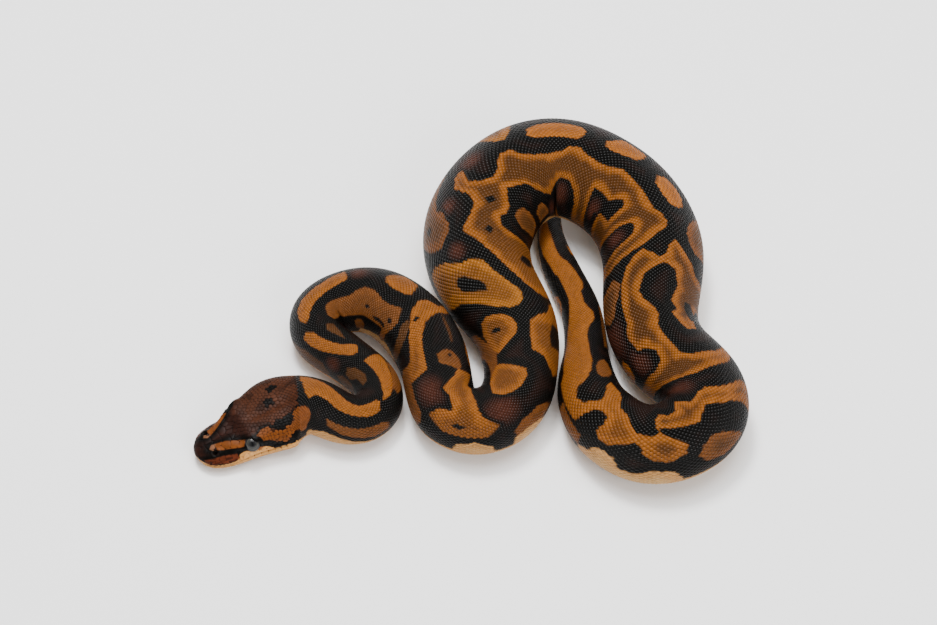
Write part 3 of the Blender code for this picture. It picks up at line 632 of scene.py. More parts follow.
# ---------------------------------------------------------------- colours of the coat
def depth_in(outline, points):
    """Distance in mm from points to an outline on the unrolled surface, positive inside it."""
    low = np.asarray(outline, float)
    high = np.roll(low, -1, axis=0)
    edge = high - low
    offset = points[:, None, :] - low[None]
    along = np.clip((offset * edge).sum(-1) / np.maximum((edge * edge).sum(-1), 1e-9), 0, 1)
    gap = np.linalg.norm(offset - along[..., None] * edge, axis=-1).min(axis=1)
    rises = (low[None, :, 1] > points[:, None, 1]) != (high[None, :, 1] > points[:, None, 1])
    step = np.where(np.abs(edge[:, 1]) < 1e-9, 1e-9, edge[:, 1])
    crossing = low[:, 0] + (points[:, None, 1] - low[:, 1]) * edge[:, 0] / step
    inside = (rises & (points[:, None, 0] < crossing)).sum(axis=1) % 2 == 1
    return np.where(inside, gap, -gap)


def unroll(places):
    """Millimetres on the unrolled surface for (s, theta) places."""
    places = np.asarray(places, float)
    return np.column_stack([places[:, 0], np.radians(places[:, 1]) * half_width(places[:, 0])])


def ripple(s, theta, size, seed):
    """Soft even-handed variation from -1 to 1, about size mm across."""
    x, y = s / size, np.radians(theta) * 8.0 / size
    wave = np.sin(x * 1.9 + 1.3 * np.sin(y * 1.7 + seed) + seed)
    return wave * np.cos(y * 2.3 + 1.1 * np.sin(x * 1.3 - seed))


def mix(a, b, share):
    """Colours between a and b."""
    share = np.reshape(share, (-1, 1))
    return a * (1 - share) + b * share


def close_to(reach, outline, s, points, room):
    """Which places lie within room mm of a mark's extent along and round the body."""
    low, high = outline[:, 1].min() - room, outline[:, 1].max() + room
    beside = (points[:, 1] > low) & (points[:, 1] < high)
    return (s > reach.min() - room) & (s < reach.max() + room) & beside


class Coat:
    """The animal's colours at places on it."""

    def __init__(self):
        marks, spots = all_marks()
        self.marks = [(kind, np.array(outline)[:, 0], unroll(outline)) for kind, outline in marks.values()]
        self.spots = [(np.array(outline)[:, 0], unroll(outline)) for outline in spots.values()]
        self.kinds = list(KINDS)
        self.colours = np.array([[srgb(text) for text in KINDS[kind]] for kind in self.kinds])
        self.black, self.warm, self.seam = (srgb(text)[None] for text in GROUND)

    def depths(self, s, theta):
        """Depth in the deepest mark at each place, its kind, depth in a dark spot, and what is crown."""
        points = unroll(np.column_stack([s, theta]))
        wave = 4 * np.sin(s / 6.3) + 3 * np.sin(s / 2.9 + 1)
        edge = np.interp(s, *BELLY_EDGE) + wave * smooth(30, 45, s)
        belly = np.radians(np.abs(theta) - edge) * half_width(s)
        kind_at = np.full(len(s), self.kinds.index("cream"))
        deepest = np.maximum(FAR_OUT, belly)
        for kind, reach, outline in self.marks:
            near = close_to(reach, outline, s, points, 7)
            if not near.any():
                continue
            depth = np.full(len(s), FAR_OUT)
            depth[near] = depth_in(outline, points[near])
            better = depth > deepest
            deepest = np.where(better, depth, deepest)
            kind_at = np.where(better, self.kinds.index(kind), kind_at)
        # the crown is what no mark covers on top of the head, and the tip of the snout
        crown = (s < 27.5) & (theta > -60 + 0.3 * s) & (theta < 76) & (deepest < 0) | (s < 2.6)
        spot = np.full(len(s), FAR_OUT)
        for reach, outline in self.spots:
            near = close_to(reach, outline, s, points, 1)
            if near.any():
                spot[near] = np.maximum(spot[near], depth_in(outline, points[near]))
        return deepest, kind_at, spot, crown

    def mark_colour(self, s, theta, deepest, kind_at):
        """Scales in a mark: its rim, its darker middle, and black mottling in the rust ones."""
        inner = smooth(0.5, 2.6, deepest + 0.5 * ripple(s, theta, 3.0, 2.0)) * np.interp(s, *INNER)
        lower = smooth(28, 62, np.abs(theta)) * np.interp(s, *LOWER)
        patterned = np.isin(kind_at, [self.kinds.index(kind) for kind in ("blotch", "bright")])
        share = np.maximum(inner, lower * patterned)
        colour = mix(self.colours[kind_at, 0], self.colours[kind_at, 1], share)
        rusty = kind_at == self.kinds.index("rust")
        return mix(colour, self.black, rusty * 0.6 * smooth(-0.1, 0.8, ripple(s, theta, 1.3, 6.0)))

    def ground_colour(self, s, theta, away):
        """The dark ground, a little redder far from marks and most at the WARM places."""
        points = unroll(np.column_stack([s, theta]))
        centres = unroll([(a, b) for a, b, _ in WARM])
        warm = 0.16 * smooth(1.5, 4.0, away + 0.9 * ripple(s, theta, 4.0, 5.0))
        for centre, (_, _, reach) in zip(centres, WARM):
            warm = np.maximum(warm, 0.95 * hill(np.linalg.norm(points - centre, axis=1), reach))
        return mix(self.black, self.warm, warm * smooth(0.3, 1.2, away))

    def crown_colour(self, s, theta, away):
        """The crown: darker on the snout, mottled, and black along its edge."""
        front, back, _ = self.colours[self.kinds.index("crown")]
        colour = mix(front[None], back[None], smooth(11.0, 16.0, s + 0.8 * ripple(s, theta, 2.5, 3.0)))
        colour = colour * (1 + 0.20 * ripple(s, theta, 2.2, 1.0) + 0.12 * ripple(s, theta, 0.9, 4.0))[:, None]
        colour = mix(colour, self.black, smooth(0.4, 0.9, ripple(s, theta, 3.1, 8.0)) * 0.45)
        edge = smooth(0.3, np.where(s < 13, 2.2, 1.2), away) * (1 - 0.55 * hill(s - 2.2, 2.6))
        return mix(self.black, colour, edge)

    def paint(self, s, theta, grain=0.0):
        """Linear colour of the scales and of the skin between them at places."""
        theta = (theta + 180) % 360 - 180
        deepest, kind_at, spot, crown = self.depths(s, theta)
        away = np.maximum(-deepest, 0)
        in_spot = smooth(-BORDER, BORDER, spot)
        outside = np.maximum(1 - smooth(-BORDER, BORDER, deepest), in_spot)
        ground = self.ground_colour(s, theta, away)
        ground = np.where(crown[:, None], self.crown_colour(s, theta, away), ground)
        ground = mix(ground, self.black, in_spot)
        scale = mix(self.mark_colour(s, theta, deepest, kind_at), ground, outside)
        seam = mix(self.colours[kind_at, 2], 0.5 * (self.seam + ground * 0.45), outside)
        scale = scale * (1 + np.reshape(grain, (-1, 1)))
        return np.clip(scale, 0, 1), np.clip(seam, 0, 1)


# ---------------------------------------------------------------- meshes
def set_colours(mesh, name, colours):
    """Store a colour on each of a mesh's points."""
    layer = mesh.color_attributes.new(name, "FLOAT_COLOR", "POINT")
    opaque = np.column_stack([colours, np.ones(len(colours))])
    layer.data.foreach_set("color", opaque.astype(np.float32).ravel())


def add_mesh(name, points, faces, colours, unwrap):
    """A mesh object from mm points and faces of one size or more, with its colours and unwrap."""
    mesh = bpy.data.meshes.new(name)
    loops = np.concatenate([np.asarray(group).ravel() for group in faces]).astype(np.int32)
    sizes = np.concatenate([np.full(len(group), np.shape(group)[1]) for group in faces])
    mesh.vertices.add(len(points))
    mesh.vertices.foreach_set("co", (np.asarray(points) * MM).astype(np.float32).ravel())
    mesh.loops.add(len(loops))
    mesh.loops.foreach_set("vertex_index", loops)
    mesh.polygons.add(len(sizes))
    mesh.polygons.foreach_set("loop_start", np.concatenate([[0], np.cumsum(sizes)[:-1]]).astype(np.int32))
    mesh.update(calc_edges=True)
    mesh.shade_smooth()
    set_colours(mesh, "markings", colours)
    layer = mesh.uv_layers.new(name="OFBake")
    layer.data.foreach_set("uv", unwrap.astype(np.float32).ravel())
    if mesh.validate():
        raise RuntimeError("the faces of %s are not sound" % name)
    piece = bpy.data.objects.new(name, mesh)
    bpy.context.scene.collection.objects.link(piece)
    return piece


def finish_piece(piece, material, replaces=()):
    """Give a piece its finish, its body and the CAD nodes it stands for."""
    piece.data.materials.clear()
    piece.data.materials.append(material)
    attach(piece, "root")
    if replaces:
        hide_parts(*replaces)


def deselect_all():
    """Leave edit mode and select nothing, as the frame's nodes come in selected."""
    if bpy.context.object and bpy.context.object.mode != "OBJECT":
        bpy.ops.object.mode_set(mode="OBJECT")
    bpy.ops.object.select_all(action="DESELECT")


# ---------------------------------------------------------------- materials
def set_sockets(node, values):
    """Give a node's sockets constant values."""
    for socket, value in values.items():
        node.inputs[socket].default_value = value


def add_node(tree, kind, links, values=None, **settings):
    """A node with its links, its sockets' values and its settings."""
    node = tree.nodes.new(kind)
    for name, value in settings.items():
        setattr(node, name, value)
    set_sockets(node, values or {})
    for socket, source in links.items():
        tree.links.new(source, node.inputs[socket])
    return node


def reckon(tree, operation, first, second):
    """A maths node's result from a socket and either a second socket or a number."""
    linked = isinstance(second, bpy.types.NodeSocket)
    links = {0: first, 1: second} if linked else {0: first}
    values = {} if linked else {1: second}
    return add_node(tree, "ShaderNodeMath", links, values, operation=operation).outputs[0]


def new_material(name):
    """An empty node material with its shader."""
    made = bpy.data.materials.new(name)
    made.use_nodes = True
    tree = made.node_tree
    return made, tree, tree.nodes["Principled BSDF"]


def keratin(name, roughness, mottle, relief_mm, gloss=0.11):
    """Keratin: the markings' colours in fine flecks, under a low gloss that the flecks vary."""
    made, tree, shader = new_material(name)
    colour = add_node(tree, "ShaderNodeAttribute", {}, attribute_name="markings")
    where = add_node(tree, "ShaderNodeTexCoord", {}).outputs["Object"]
    # flecks about half a millimetre across
    fleck = add_node(tree, "ShaderNodeTexNoise", {"Vector": where}, {"Scale": 1 / (0.9 * MM), "Detail": 3.0})
    spread = add_node(tree, "ShaderNodeMapRange", {"Value": fleck.outputs["Fac"]},
                      {"From Min": 0.3, "From Max": 0.7, "To Min": 1 - mottle, "To Max": 1 + mottle})
    tinted = add_node(tree, "ShaderNodeVectorMath", {0: colour.outputs["Color"], 1: spread.outputs["Result"]},
                      operation="MULTIPLY")
    tree.links.new(tinted.outputs["Vector"], shader.inputs["Base Color"])
    dull = add_node(tree, "ShaderNodeMapRange", {"Value": fleck.outputs["Fac"]},
                    {"To Min": roughness - 0.06, "To Max": roughness + 0.08})
    tree.links.new(dull.outputs["Result"], shader.inputs["Roughness"])
    # fine unevenness, about 0.15 mm across
    grain = add_node(tree, "ShaderNodeTexNoise", {"Vector": where}, {"Scale": 1 / (0.3 * MM)})
    bump = add_node(tree, "ShaderNodeBump", {"Height": grain.outputs["Fac"]},
                    {"Strength": 0.25, "Distance": relief_mm * MM})
    tree.links.new(bump.outputs["Normal"], shader.inputs["Normal"])
    set_sockets(shader, {"IOR": 1.5, "Specular IOR Level": gloss})
    return made


# ---------------------------------------------------------------- scale shapes
def scale_pattern():
    """One scale, modelled once: a lozenge with a raised middle and a wall down to its root.

    Gives its points as (along, across, level) with level 0 at the root, 1 at the rim and 2 at the
    crown, and its faces.
    """
    deselect_all()
    bpy.ops.mesh.primitive_circle_add(vertices=8, radius=1.0, fill_type="NGON")
    made = bpy.context.object
    bpy.ops.object.mode_set(mode="EDIT")
    bpy.ops.mesh.select_all(action="SELECT")
    bpy.ops.mesh.extrude_region_move(TRANSFORM_OT_translate={"value": (0, 0, 1)})
    bpy.ops.mesh.poke(offset=1.0)
    bpy.ops.mesh.select_all(action="SELECT")
    bpy.ops.mesh.normals_make_consistent(inside=False)
    bpy.ops.object.mode_set(mode="OBJECT")
    points = np.array([v.co[:] for v in made.data.vertices])
    faces = [list(p.vertices) for p in made.data.polygons]
    bpy.data.objects.remove(made)
    level = np.round(points[:, 2])
    radius = np.hypot(points[:, 0], points[:, 1])
    angle = np.arctan2(points[:, 1], points[:, 0])
    # the round outline drawn in to a lozenge with soft corners
    corner = np.abs(np.cos(2 * angle))
    reach = radius * (0.80 + 0.20 * corner)
    return np.column_stack([reach * np.cos(angle), reach * np.sin(angle), level]), faces


def unrolled(s, t, start, end):
    """Places on the unrolled skin from start to end, as shares of the map inside its edge."""
    return PATCH + (1 - 2 * PATCH) * np.column_stack([(s - start) / (end - start), t % 1.0])


def stamp_scales(surface, coat, name, span, pattern):
    """One length's scales: copies of the pattern, each with its own colour and patch of the unwrap."""
    s, t, half_s, half_t = ring_lattice(surface, *span).T
    points, faces = pattern
    count, size = len(s), len(points)
    along, across, level = points.T
    stretch = np.linalg.norm(surface.read(surface.along, s, t), axis=1)
    rise = np.clip(half_s, 0.4, 1.2) * np.clip(stretch, 0.35, 1.0)
    half_s = half_s * np.minimum(1.0, 1.3 / np.maximum(stretch, 0.05))
    at_s = s[:, None] + half_s[:, None] * np.where(along > 0, OVERLAP * along, along)[None]
    at_t = t[:, None] + half_t[:, None] * (across * 0.98)[None]
    root, rim = np.full(size, SCALE_ROOT), SCALE_RIM + TILT * along
    lift = rise[:, None] * np.choose(level.astype(int), [root, rim, SCALE_CROWN])
    placed = surface.place(np.clip(at_s, 0, LENGTH).ravel(), at_t.ravel(), lift.ravel())
    placed[:, 2] = np.maximum(placed[:, 2], 0.0)
    grain = np.random.default_rng(11).normal(0, 0.07, count)
    # pigment runs a little way over a scale's edge, so a mark's border isn't wholly in steps
    paint_s = (s[:, None] + BLEED * half_s[:, None] * along[None]).ravel()
    paint_t = (t[:, None] + BLEED * half_t[:, None] * across[None]).ravel()
    colours, _ = coat.paint(paint_s, paint_t * 360, np.repeat(grain, size))
    groups = {}
    for face in faces:
        groups.setdefault(len(face), []).append(face)
    base = (np.arange(count) * size)[:, None, None]
    made_faces = [(base + np.array(group)[None]).reshape(-1, corners) for corners, group in groups.items()]
    patch = np.column_stack([along, across]) * PATCH / 2
    flat = (unrolled(s, t, *span)[:, None, :] + patch[None]).reshape(-1, 2)
    unwrap = flat[np.concatenate([group.ravel() for group in made_faces])]
    return add_mesh(name, placed, made_faces, colours, unwrap)


def plan_rings(surface):
    """Where every ring of scales lies, how many it would hold all round, and its scales' width."""
    rows = np.array(ROWS, float)
    fine = np.arange(PLATES_BLEND, LENGTH, STEP)
    girth = np.interp(fine, fine[::8], [surface.girth(s, 48) for s in fine[::8]])
    width = girth / np.interp(fine, rows[:, 0], rows[:, 1])
    phase = np.concatenate([[0], np.cumsum(STEP / (0.5 * width))[:-1]])
    s = np.interp(np.arange(0, int(phase[-1])), phase, fine)
    return list(zip(s, np.interp(s, rows[:, 0], rows[:, 1]), np.interp(s, fine, width)))


def ring_lattice(surface, start, end):
    """The body's scales from start to end, in rings that step by half a scale: s, t and half sizes."""
    places = []
    for ring, (s, count, width) in enumerate(shared_rings(surface)):
        if not start <= s < end:
            continue
        limit = 0.5 - (SCUTE_HALF if s > SCUTES_FROM else 0.0)
        t = (np.arange(-HALF_RING, HALF_RING + 1) + 0.5 * (ring % 2)) / count
        for share in t[np.abs(t) < limit - 0.1 / count]:
            places.append((s, share % 1.0, 0.5 * width, 0.5 / count))
    return np.array(places)


# ---------------------------------------------------------------- the head's plates
def head_seeds(surface):
    """Middles of the head's named plates: s, share round, room to the next, and sort."""
    seeds = [(0.35, 0.0, 1.3, PLAIN), (0.55, 0.5, 1.2, PLAIN)]
    for side in (1, -1):
        for s, theta, room in TOP_PLATES:
            seeds.append((s, (side * theta / 360) % 1.0, room, PLAIN))
        for number, a in enumerate(UPPER_LIP):
            t = surface.side_share(a, mouth_height(a) + LIP_HEIGHTS[0], side)
            seeds.append((a, t, 0.85, PITTED if 0 < number < 6 else PLAIN))
        for a in LOWER_LIP:
            seeds.append((a, surface.side_share(a, mouth_height(a) + LIP_HEIGHTS[1], side), 0.8, PLAIN))
        for a, z in LOREALS:
            seeds.append((a, surface.side_share(a, z, side), 0.75, PLAIN))
        for angle in 2 * pi * (np.arange(10) + 0.5) / 10:
            for along, up, room, sort in EYE_RINGS:
                a, z = EYE_AT + along * cos(angle), EYE_HEIGHT + up * sin(angle)
                seeds.append((a, surface.side_share(a, z, side), room, sort))
        seeds.append((NOSTRIL[0], (side * NOSTRIL[1] / 360) % 1.0, 0.3, BARE))
    return seeds


def head_places(surface):
    """Every head scale as (s, share round, room, sort), and its point in mm.

    The named plates come first, then the first of the body's rings, which the rear plates fall in
    with, then smaller scales in what is left.
    """
    seeds = head_seeds(surface)
    for s, t, half_s, _ in ring_lattice(surface, PLATES_BLEND, HEAD_END + 1.5):
        seeds.append((s, t, half_s, BARE if s >= HEAD_END else PLAIN))
    points = list(surface.place(np.array([x[0] for x in seeds]), np.array([x[1] for x in seeds])))
    tip, forward, _ = head_frame()
    chance = np.random.default_rng(5)
    s, ring = 1.4, 0
    while s < PLATES_BLEND - 0.3:
        width = float(np.interp(s, *FILLER_WIDTH))
        girth = surface.girth(s, 96)
        count = max(8, int(round(girth / width)))
        wobble = WOBBLE if s < PLATES_BLEND - 2 else 0.0
        for j in range(count):
            t = ((j + 0.5 * (ring % 2)) / count) % 1.0
            under = 0.36 < t < 0.64
            place_s = s + chance.normal(0, wobble) * width
            place_t = (t + chance.normal(0, wobble) * width / girth) % 1.0
            point = surface.place(np.array([place_s]), np.array([place_t]))[0]
            gaps = np.linalg.norm(np.array(points) - point, axis=1)
            rooms = np.array([x[2] for x in seeds])
            need = np.maximum(rooms, 0.5 * width) + (0.45 if under else 0.42) * width
            need = np.where(rooms > 0.5 * width, need, np.minimum(need, 0.72 * width))
            in_mouth = abs(point[2] - mouth_height((point - tip) @ forward)) < 0.75 and place_s < MOUTH_END
            if not in_mouth and (gaps > need).all():
                seeds.append((place_s, place_t, 0.5 * width, PLAIN))
                points.append(point)
        s += width * 0.86
        ring += 1
    return seeds, np.array(points)


def clip_cell(cell, normal, limit):
    """The part of a flat convex cell on the near side of a line."""
    kept = []
    for i in range(len(cell)):
        here, after = cell[i], cell[(i + 1) % len(cell)]
        a, b = here @ normal - limit, after @ normal - limit
        if a <= 0:
            kept.append(here)
        if (a < 0) != (b < 0) and a != b:
            kept.append(here + (after - here) * (a / (a - b)))
    return kept


def rounded(cell):
    """A cell's outline with its corners cut twice."""
    for _ in range(2):
        low = np.array(cell)
        high = np.roll(low, -1, axis=0)
        cell = np.stack([low * 0.85 + high * 0.15, low * 0.15 + high * 0.85], axis=1).reshape(-1, 2)
        if len(cell) > 20:
            break
    return cell


def even_outline(outline, step):
    """The same closed outline with points at even distances."""
    closed = np.vstack([outline, outline[:1]])
    run = run_along(closed)
    count = int(np.clip(round(run[-1] / step), 10, 44))
    at = np.arange(count) * run[-1] / count
    return np.column_stack([np.interp(at, run, closed[:, 0]), np.interp(at, run, closed[:, 1])])


def plate_outline(offset, first, second, reach, gap, step):
    """Outline of one plate on its tangent plane, half way to its neighbours, or None if they close it."""
    cell = [np.array([cos(turn), sin(turn)]) * reach for turn in np.arange(8) * pi / 4]
    for j in np.argsort((offset * offset).sum(1))[1:26]:
        flat = np.array([offset[j] @ first, offset[j] @ second])
        size = np.linalg.norm(flat)
        if size < 1e-6:
            continue
        spread = (offset[j] @ offset[j]) / 2
        cell = clip_cell(cell, flat / size, spread / size - gap)
        if len(cell) < 3:
            return None
    return even_outline(rounded(cell), step)


def plate_levels(outline, broad, pitted):
    """A plate's rings from root to middle, as (share of its outline, lift), and its middle's lift."""
    width = np.linalg.norm(outline - outline.mean(axis=0), axis=1).mean()
    dome = float(np.interp(width, [0.3, 0.8, 2.0], [0.03, 0.04, 0.05]))
    radii = (1.0, 0.93, 0.84, 0.7, 0.55, 0.4, 0.22) if broad else (1.0, 0.84, 0.45)
    levels = [(1.0, PLATE_ROOT)] + [(r, PLATE_RIM + dome * (1 - r**4)) for r in radii]
    if pitted:
        return levels[:-3] + [(0.36, -0.02), (0.30, -0.16), (0.18, -0.22)], -0.24
    return levels, PLATE_RIM + dome


def plate_faces(start, size, rings):
    """Faces of one closed plate: its rings, a fan on its middle and its flat root."""
    around = np.arange(size)
    after = (around + 1) % size
    faces = []
    for low in start + np.arange(rings - 1) * size:
        high = low + size
        faces.append(np.column_stack([low + around, low + after, high + after, high + around]))
    last = start + (rings - 1) * size
    faces.append(np.column_stack([last + around, last + after, np.full(size, last + size)]))
    faces.append((start + around[::-1])[None])
    return faces


def flat_axes(normals, along):
    """Unit directions along and across the animal in the tangent plane of each place."""
    normal = normals / np.linalg.norm(normals, axis=1, keepdims=True)
    first = along - normal * (along * normal).sum(1, keepdims=True)
    first /= np.linalg.norm(first, axis=1, keepdims=True)
    return first, np.cross(normal, first)


def head_scales(surface, coat, gap):
    """Plates and scales of the head, one closed cell each, as points, faces, colours and unwrap."""
    seeds, points = head_places(surface)
    s0, t0, rooms, sorts = np.array(seeds).T
    first, second = flat_axes(surface.read(surface.normals, s0, t0), surface.read(surface.along, s0, t0))
    flats, lifts, owners, pit_shade, faces = [], [], [], [], []
    start = 0
    for i in np.flatnonzero(sorts != BARE):
        broad = s0[i] < BROAD_PLATES
        reach = 2.6 * max(rooms[i], 0.7)
        outline = plate_outline(points - points[i], first[i], second[i], reach, gap, 0.2 if broad else 0.34)
        if outline is None:
            continue
        levels, crown = plate_levels(outline, broad, sorts[i] == PITTED)
        middle = outline.mean(axis=0)
        size = len(outline)
        flats.append(np.vstack([middle + (outline - middle) * scale for scale, _ in levels] + [middle]))
        lifts.append(np.append(np.repeat([lift for _, lift in levels], size), crown))
        owners.append(np.full(len(flats[-1]), i))
        # the middle point of a heat pit is marked for painted shade
        pit_shade.append(np.append(np.zeros(len(levels) * size), sorts[i] == PITTED))
        faces += plate_faces(start, size, len(levels))
        start += len(flats[-1])
    flat, own = np.concatenate(flats), np.concatenate(owners)
    s, t = fit_to_surface(surface, s0[own], t0[own], points[own], first[own], second[own], flat)
    placed = surface.place(s, t, np.concatenate(lifts))
    placed[:, 2] = np.maximum(placed[:, 2], 0.0)
    grain = np.random.default_rng(3).normal(0, 0.06, len(seeds))[own]
    colours, _ = coat.paint(s, t * 360, grain)
    single, _ = coat.paint(s0[own], t0[own] * 360, grain)
    colours = np.where((s0[own] < BROAD_PLATES)[:, None], colours, single)
    # painted shade: the bottom of each heat pit is darkened to 12 % of its colour, on top of the pit's real
    # depth
    colours = mix(colours, colours * 0.12, np.concatenate(pit_shade))
    reach = np.zeros(len(seeds))
    np.maximum.at(reach, own, np.abs(flat).max(axis=1))
    unwrap = unrolled(s0, t0, -0.3, HEAD_END + 1.5)[own] + flat / reach[own, None] * PATCH / 2
    return placed, faces, colours, unwrap


def fit_to_surface(surface, s, t, middles, first, second, flat):
    """Places whose points stand over flat offsets from their scales' middles."""
    for _ in range(7):
        offset = surface.read(surface.points, s, t) - middles
        miss = flat - np.column_stack([(offset * first).sum(1), (offset * second).sum(1)])
        by_s = surface.read(surface.along, s, t)
        by_t = surface.read(surface.round, s, t)
        a, b = (by_s * first).sum(1), (by_t * first).sum(1)
        c, d = (by_s * second).sum(1), (by_t * second).sum(1)
        det = a * d - b * c
        det = np.where(np.abs(det) < 1e-3, 1e-3, det)
        ds = np.clip((d * miss[:, 0] - b * miss[:, 1]) / det, -0.8, 0.8)
        dt = np.clip((-c * miss[:, 0] + a * miss[:, 1]) / det, -0.06, 0.06)
        s = np.clip(s + 0.8 * ds, -SNOUT_CAP + 0.01, 40)
        t = t + 0.8 * dt
    return s, t


# ---------------------------------------------------------------- settings a user would change
class PythonSkinSettings(bpy.types.PropertyGroup):
    inset: bpy.props.FloatProperty(
        name="Skin inset", description="How far the skin lies under the true outline",
        default=0.2 * MM, min=0, unit="LENGTH")
    roughness: bpy.props.FloatProperty(
        name="Skin roughness", description="How dull the skin between scales is",
        default=0.6, min=0, max=1, subtype="FACTOR")


class PythonScaleSettings(bpy.types.PropertyGroup):
    gap: bpy.props.FloatProperty(name="Plate gap", description="Half the gap between two head plates",
                                 default=0.03 * MM, min=0, unit="LENGTH")
    roughness: bpy.props.FloatProperty(name="Scale roughness", description="How dull the scales' keratin is",
                                       default=0.3, min=0, max=1, subtype="FACTOR")


class PythonEyeSettings(bpy.types.PropertyGroup):
    iris: bpy.props.FloatVectorProperty(name="Iris", description="Colour of the iris's pale rim", size=3,
                                        default=tuple(srgb("#403E38")), subtype="COLOR", min=0, max=1)
    pupil: bpy.props.FloatVectorProperty(name="Pupil", description="Colour of the pupil", size=3,
                                         default=tuple(srgb("#050608")), subtype="COLOR", min=0, max=1)


class PythonStageSettings(bpy.types.PropertyGroup):
    floor: bpy.props.FloatVectorProperty(name="Floor", description="Colour of the plain floor", size=3,
                                         default=(0.92, 0.92, 0.92), subtype="COLOR", min=0, max=1)
    light: bpy.props.FloatProperty(name="Key light", description="Power of the large soft lamp", default=7.0,
                                   min=0, unit="POWER")


_built = {}


def shared():
    """The surface and the coat, worked out once for every operator."""
    if not _built:
        _built["surface"] = Surface()
        _built["coat"] = Coat()
    return _built["surface"], _built["coat"]


def shared_rings(surface):
    """The plan of the rings of scales, worked out once for every length."""
    if "rings" not in _built:
        _built["rings"] = plan_rings(surface)
    return _built["rings"]


# ---------------------------------------------------------------- operators
class PYTHON_OT_skin(bpy.types.Operator):
    """Builds the one skin from snout to tail tip, under all the scales"""
    bl_idname = "ball_python.skin"
    bl_label = "Skin"

    def execute(self, context):
        surface, coat = shared()
        settings = context.scene.python_skin
        snout = np.arange(0, 1.1, 0.11) ** 2
        head_s = np.concatenate([CAP_RINGS, snout, np.arange(1.25, 30, 0.19)])
        tip = LENGTH - np.array([3.0, 2.1, 1.3, 0.7, 0.3, 0.1])
        body_s = np.concatenate([np.arange(30.2, LENGTH - 3, 1.02), tip])
        s = np.concatenate([np.repeat(head_s, FINE), np.repeat(body_s, COARSE)])
        t = np.concatenate([np.tile(np.arange(FINE) / FINE, len(head_s)),
                            np.tile(np.arange(COARSE) / COARSE, len(body_s))])
        points = surface.place(s, t, -settings.inset / MM)
        _, seam = coat.paint(s, t * 360)
        faces = skin_faces(len(head_s), len(body_s))
        points = np.vstack([points, points[:FINE].mean(axis=0), points[-COARSE:].mean(axis=0)])
        seam = np.vstack([seam, seam[:1], seam[-1:]])
        place = np.column_stack([np.append(s, [s[0], s[-1]]), np.append(t, [0, 0])])
        piece = add_mesh("skin", points, faces, seam, skin_unwrap(faces, place))
        bpy.context.view_layer.objects.active = piece
        made = keratin("snake_skin_between_scales", settings.roughness, mottle=0.15, relief_mm=0.03)
        finish_piece(piece, made, FLESH)
        return {"FINISHED"}


def quad_rings(start, rings, sides):
    """Faces between neighbouring rings of points."""
    ring = np.arange(rings - 1)[:, None] * sides + start
    j = np.arange(sides)[None]
    k = (j + 1) % sides
    return np.stack([ring + j, ring + sides + j, ring + sides + k, ring + k], axis=-1).reshape(-1, 4)


def skin_faces(head_rings, body_rings):
    """Faces of the skin: both runs of rings, the joint where their points halve, and both ends."""
    turn = head_rings * FINE
    total = turn + body_rings * COARSE
    j = np.arange(COARSE)
    k = (j + 1) % COARSE
    low, last = turn - FINE, total - COARSE
    a, b, c = low + 2 * j, low + 2 * j + 1, low + (2 * j + 2) % FINE
    i = np.arange(FINE)
    return [quad_rings(0, head_rings, FINE),
            quad_rings(turn, body_rings, COARSE),
            np.column_stack([a, turn + j, b]),
            np.column_stack([b, turn + j, turn + k]),
            np.column_stack([b, turn + k, c]),
            np.column_stack([i, (i + 1) % FINE, np.full(FINE, total)]),
            np.column_stack([last + k, last + j, np.full(COARSE, total + 1)])]


def skin_unwrap(faces, place):
    """Unrolled skin, folded into bands so that it fills its square."""
    parts = []
    for group in faces:
        s = place[group, 0]
        t = place[group, 1]
        t = np.where(t.max(axis=1, keepdims=True) - t > 0.5, t + 1, t)
        front = np.clip(s.min(axis=1), 0, LENGTH - 0.01)
        band = np.minimum(np.floor(front / LENGTH * FOLDS), FOLDS - 1)[:, None]
        u = np.clip(s, 0, LENGTH) / LENGTH * FOLDS - band
        v = (band + 0.02 + 0.95 * t / 1.01) / FOLDS
        parts.append(np.stack([0.01 + 0.97 * u / 1.02, v], axis=-1).reshape(-1, 2))
    return np.concatenate(parts)


class PYTHON_OT_body_scales(bpy.types.Operator):
    """Builds the smooth lozenge scales of the neck, trunk and tail, in rings that overlap backwards"""
    bl_idname = "ball_python.body_scales"
    bl_label = "Body scales"

    def execute(self, context):
        surface, coat = shared()
        pattern = scale_pattern()
        roughness = context.scene.python_scales.roughness
        made = keratin("scale_keratin", roughness, mottle=0.10, relief_mm=0.02)
        for name, *span in LENGTHS:
            piece = stamp_scales(surface, coat, name, span, pattern)
            finish_piece(piece, made)
        return {"FINISHED"}


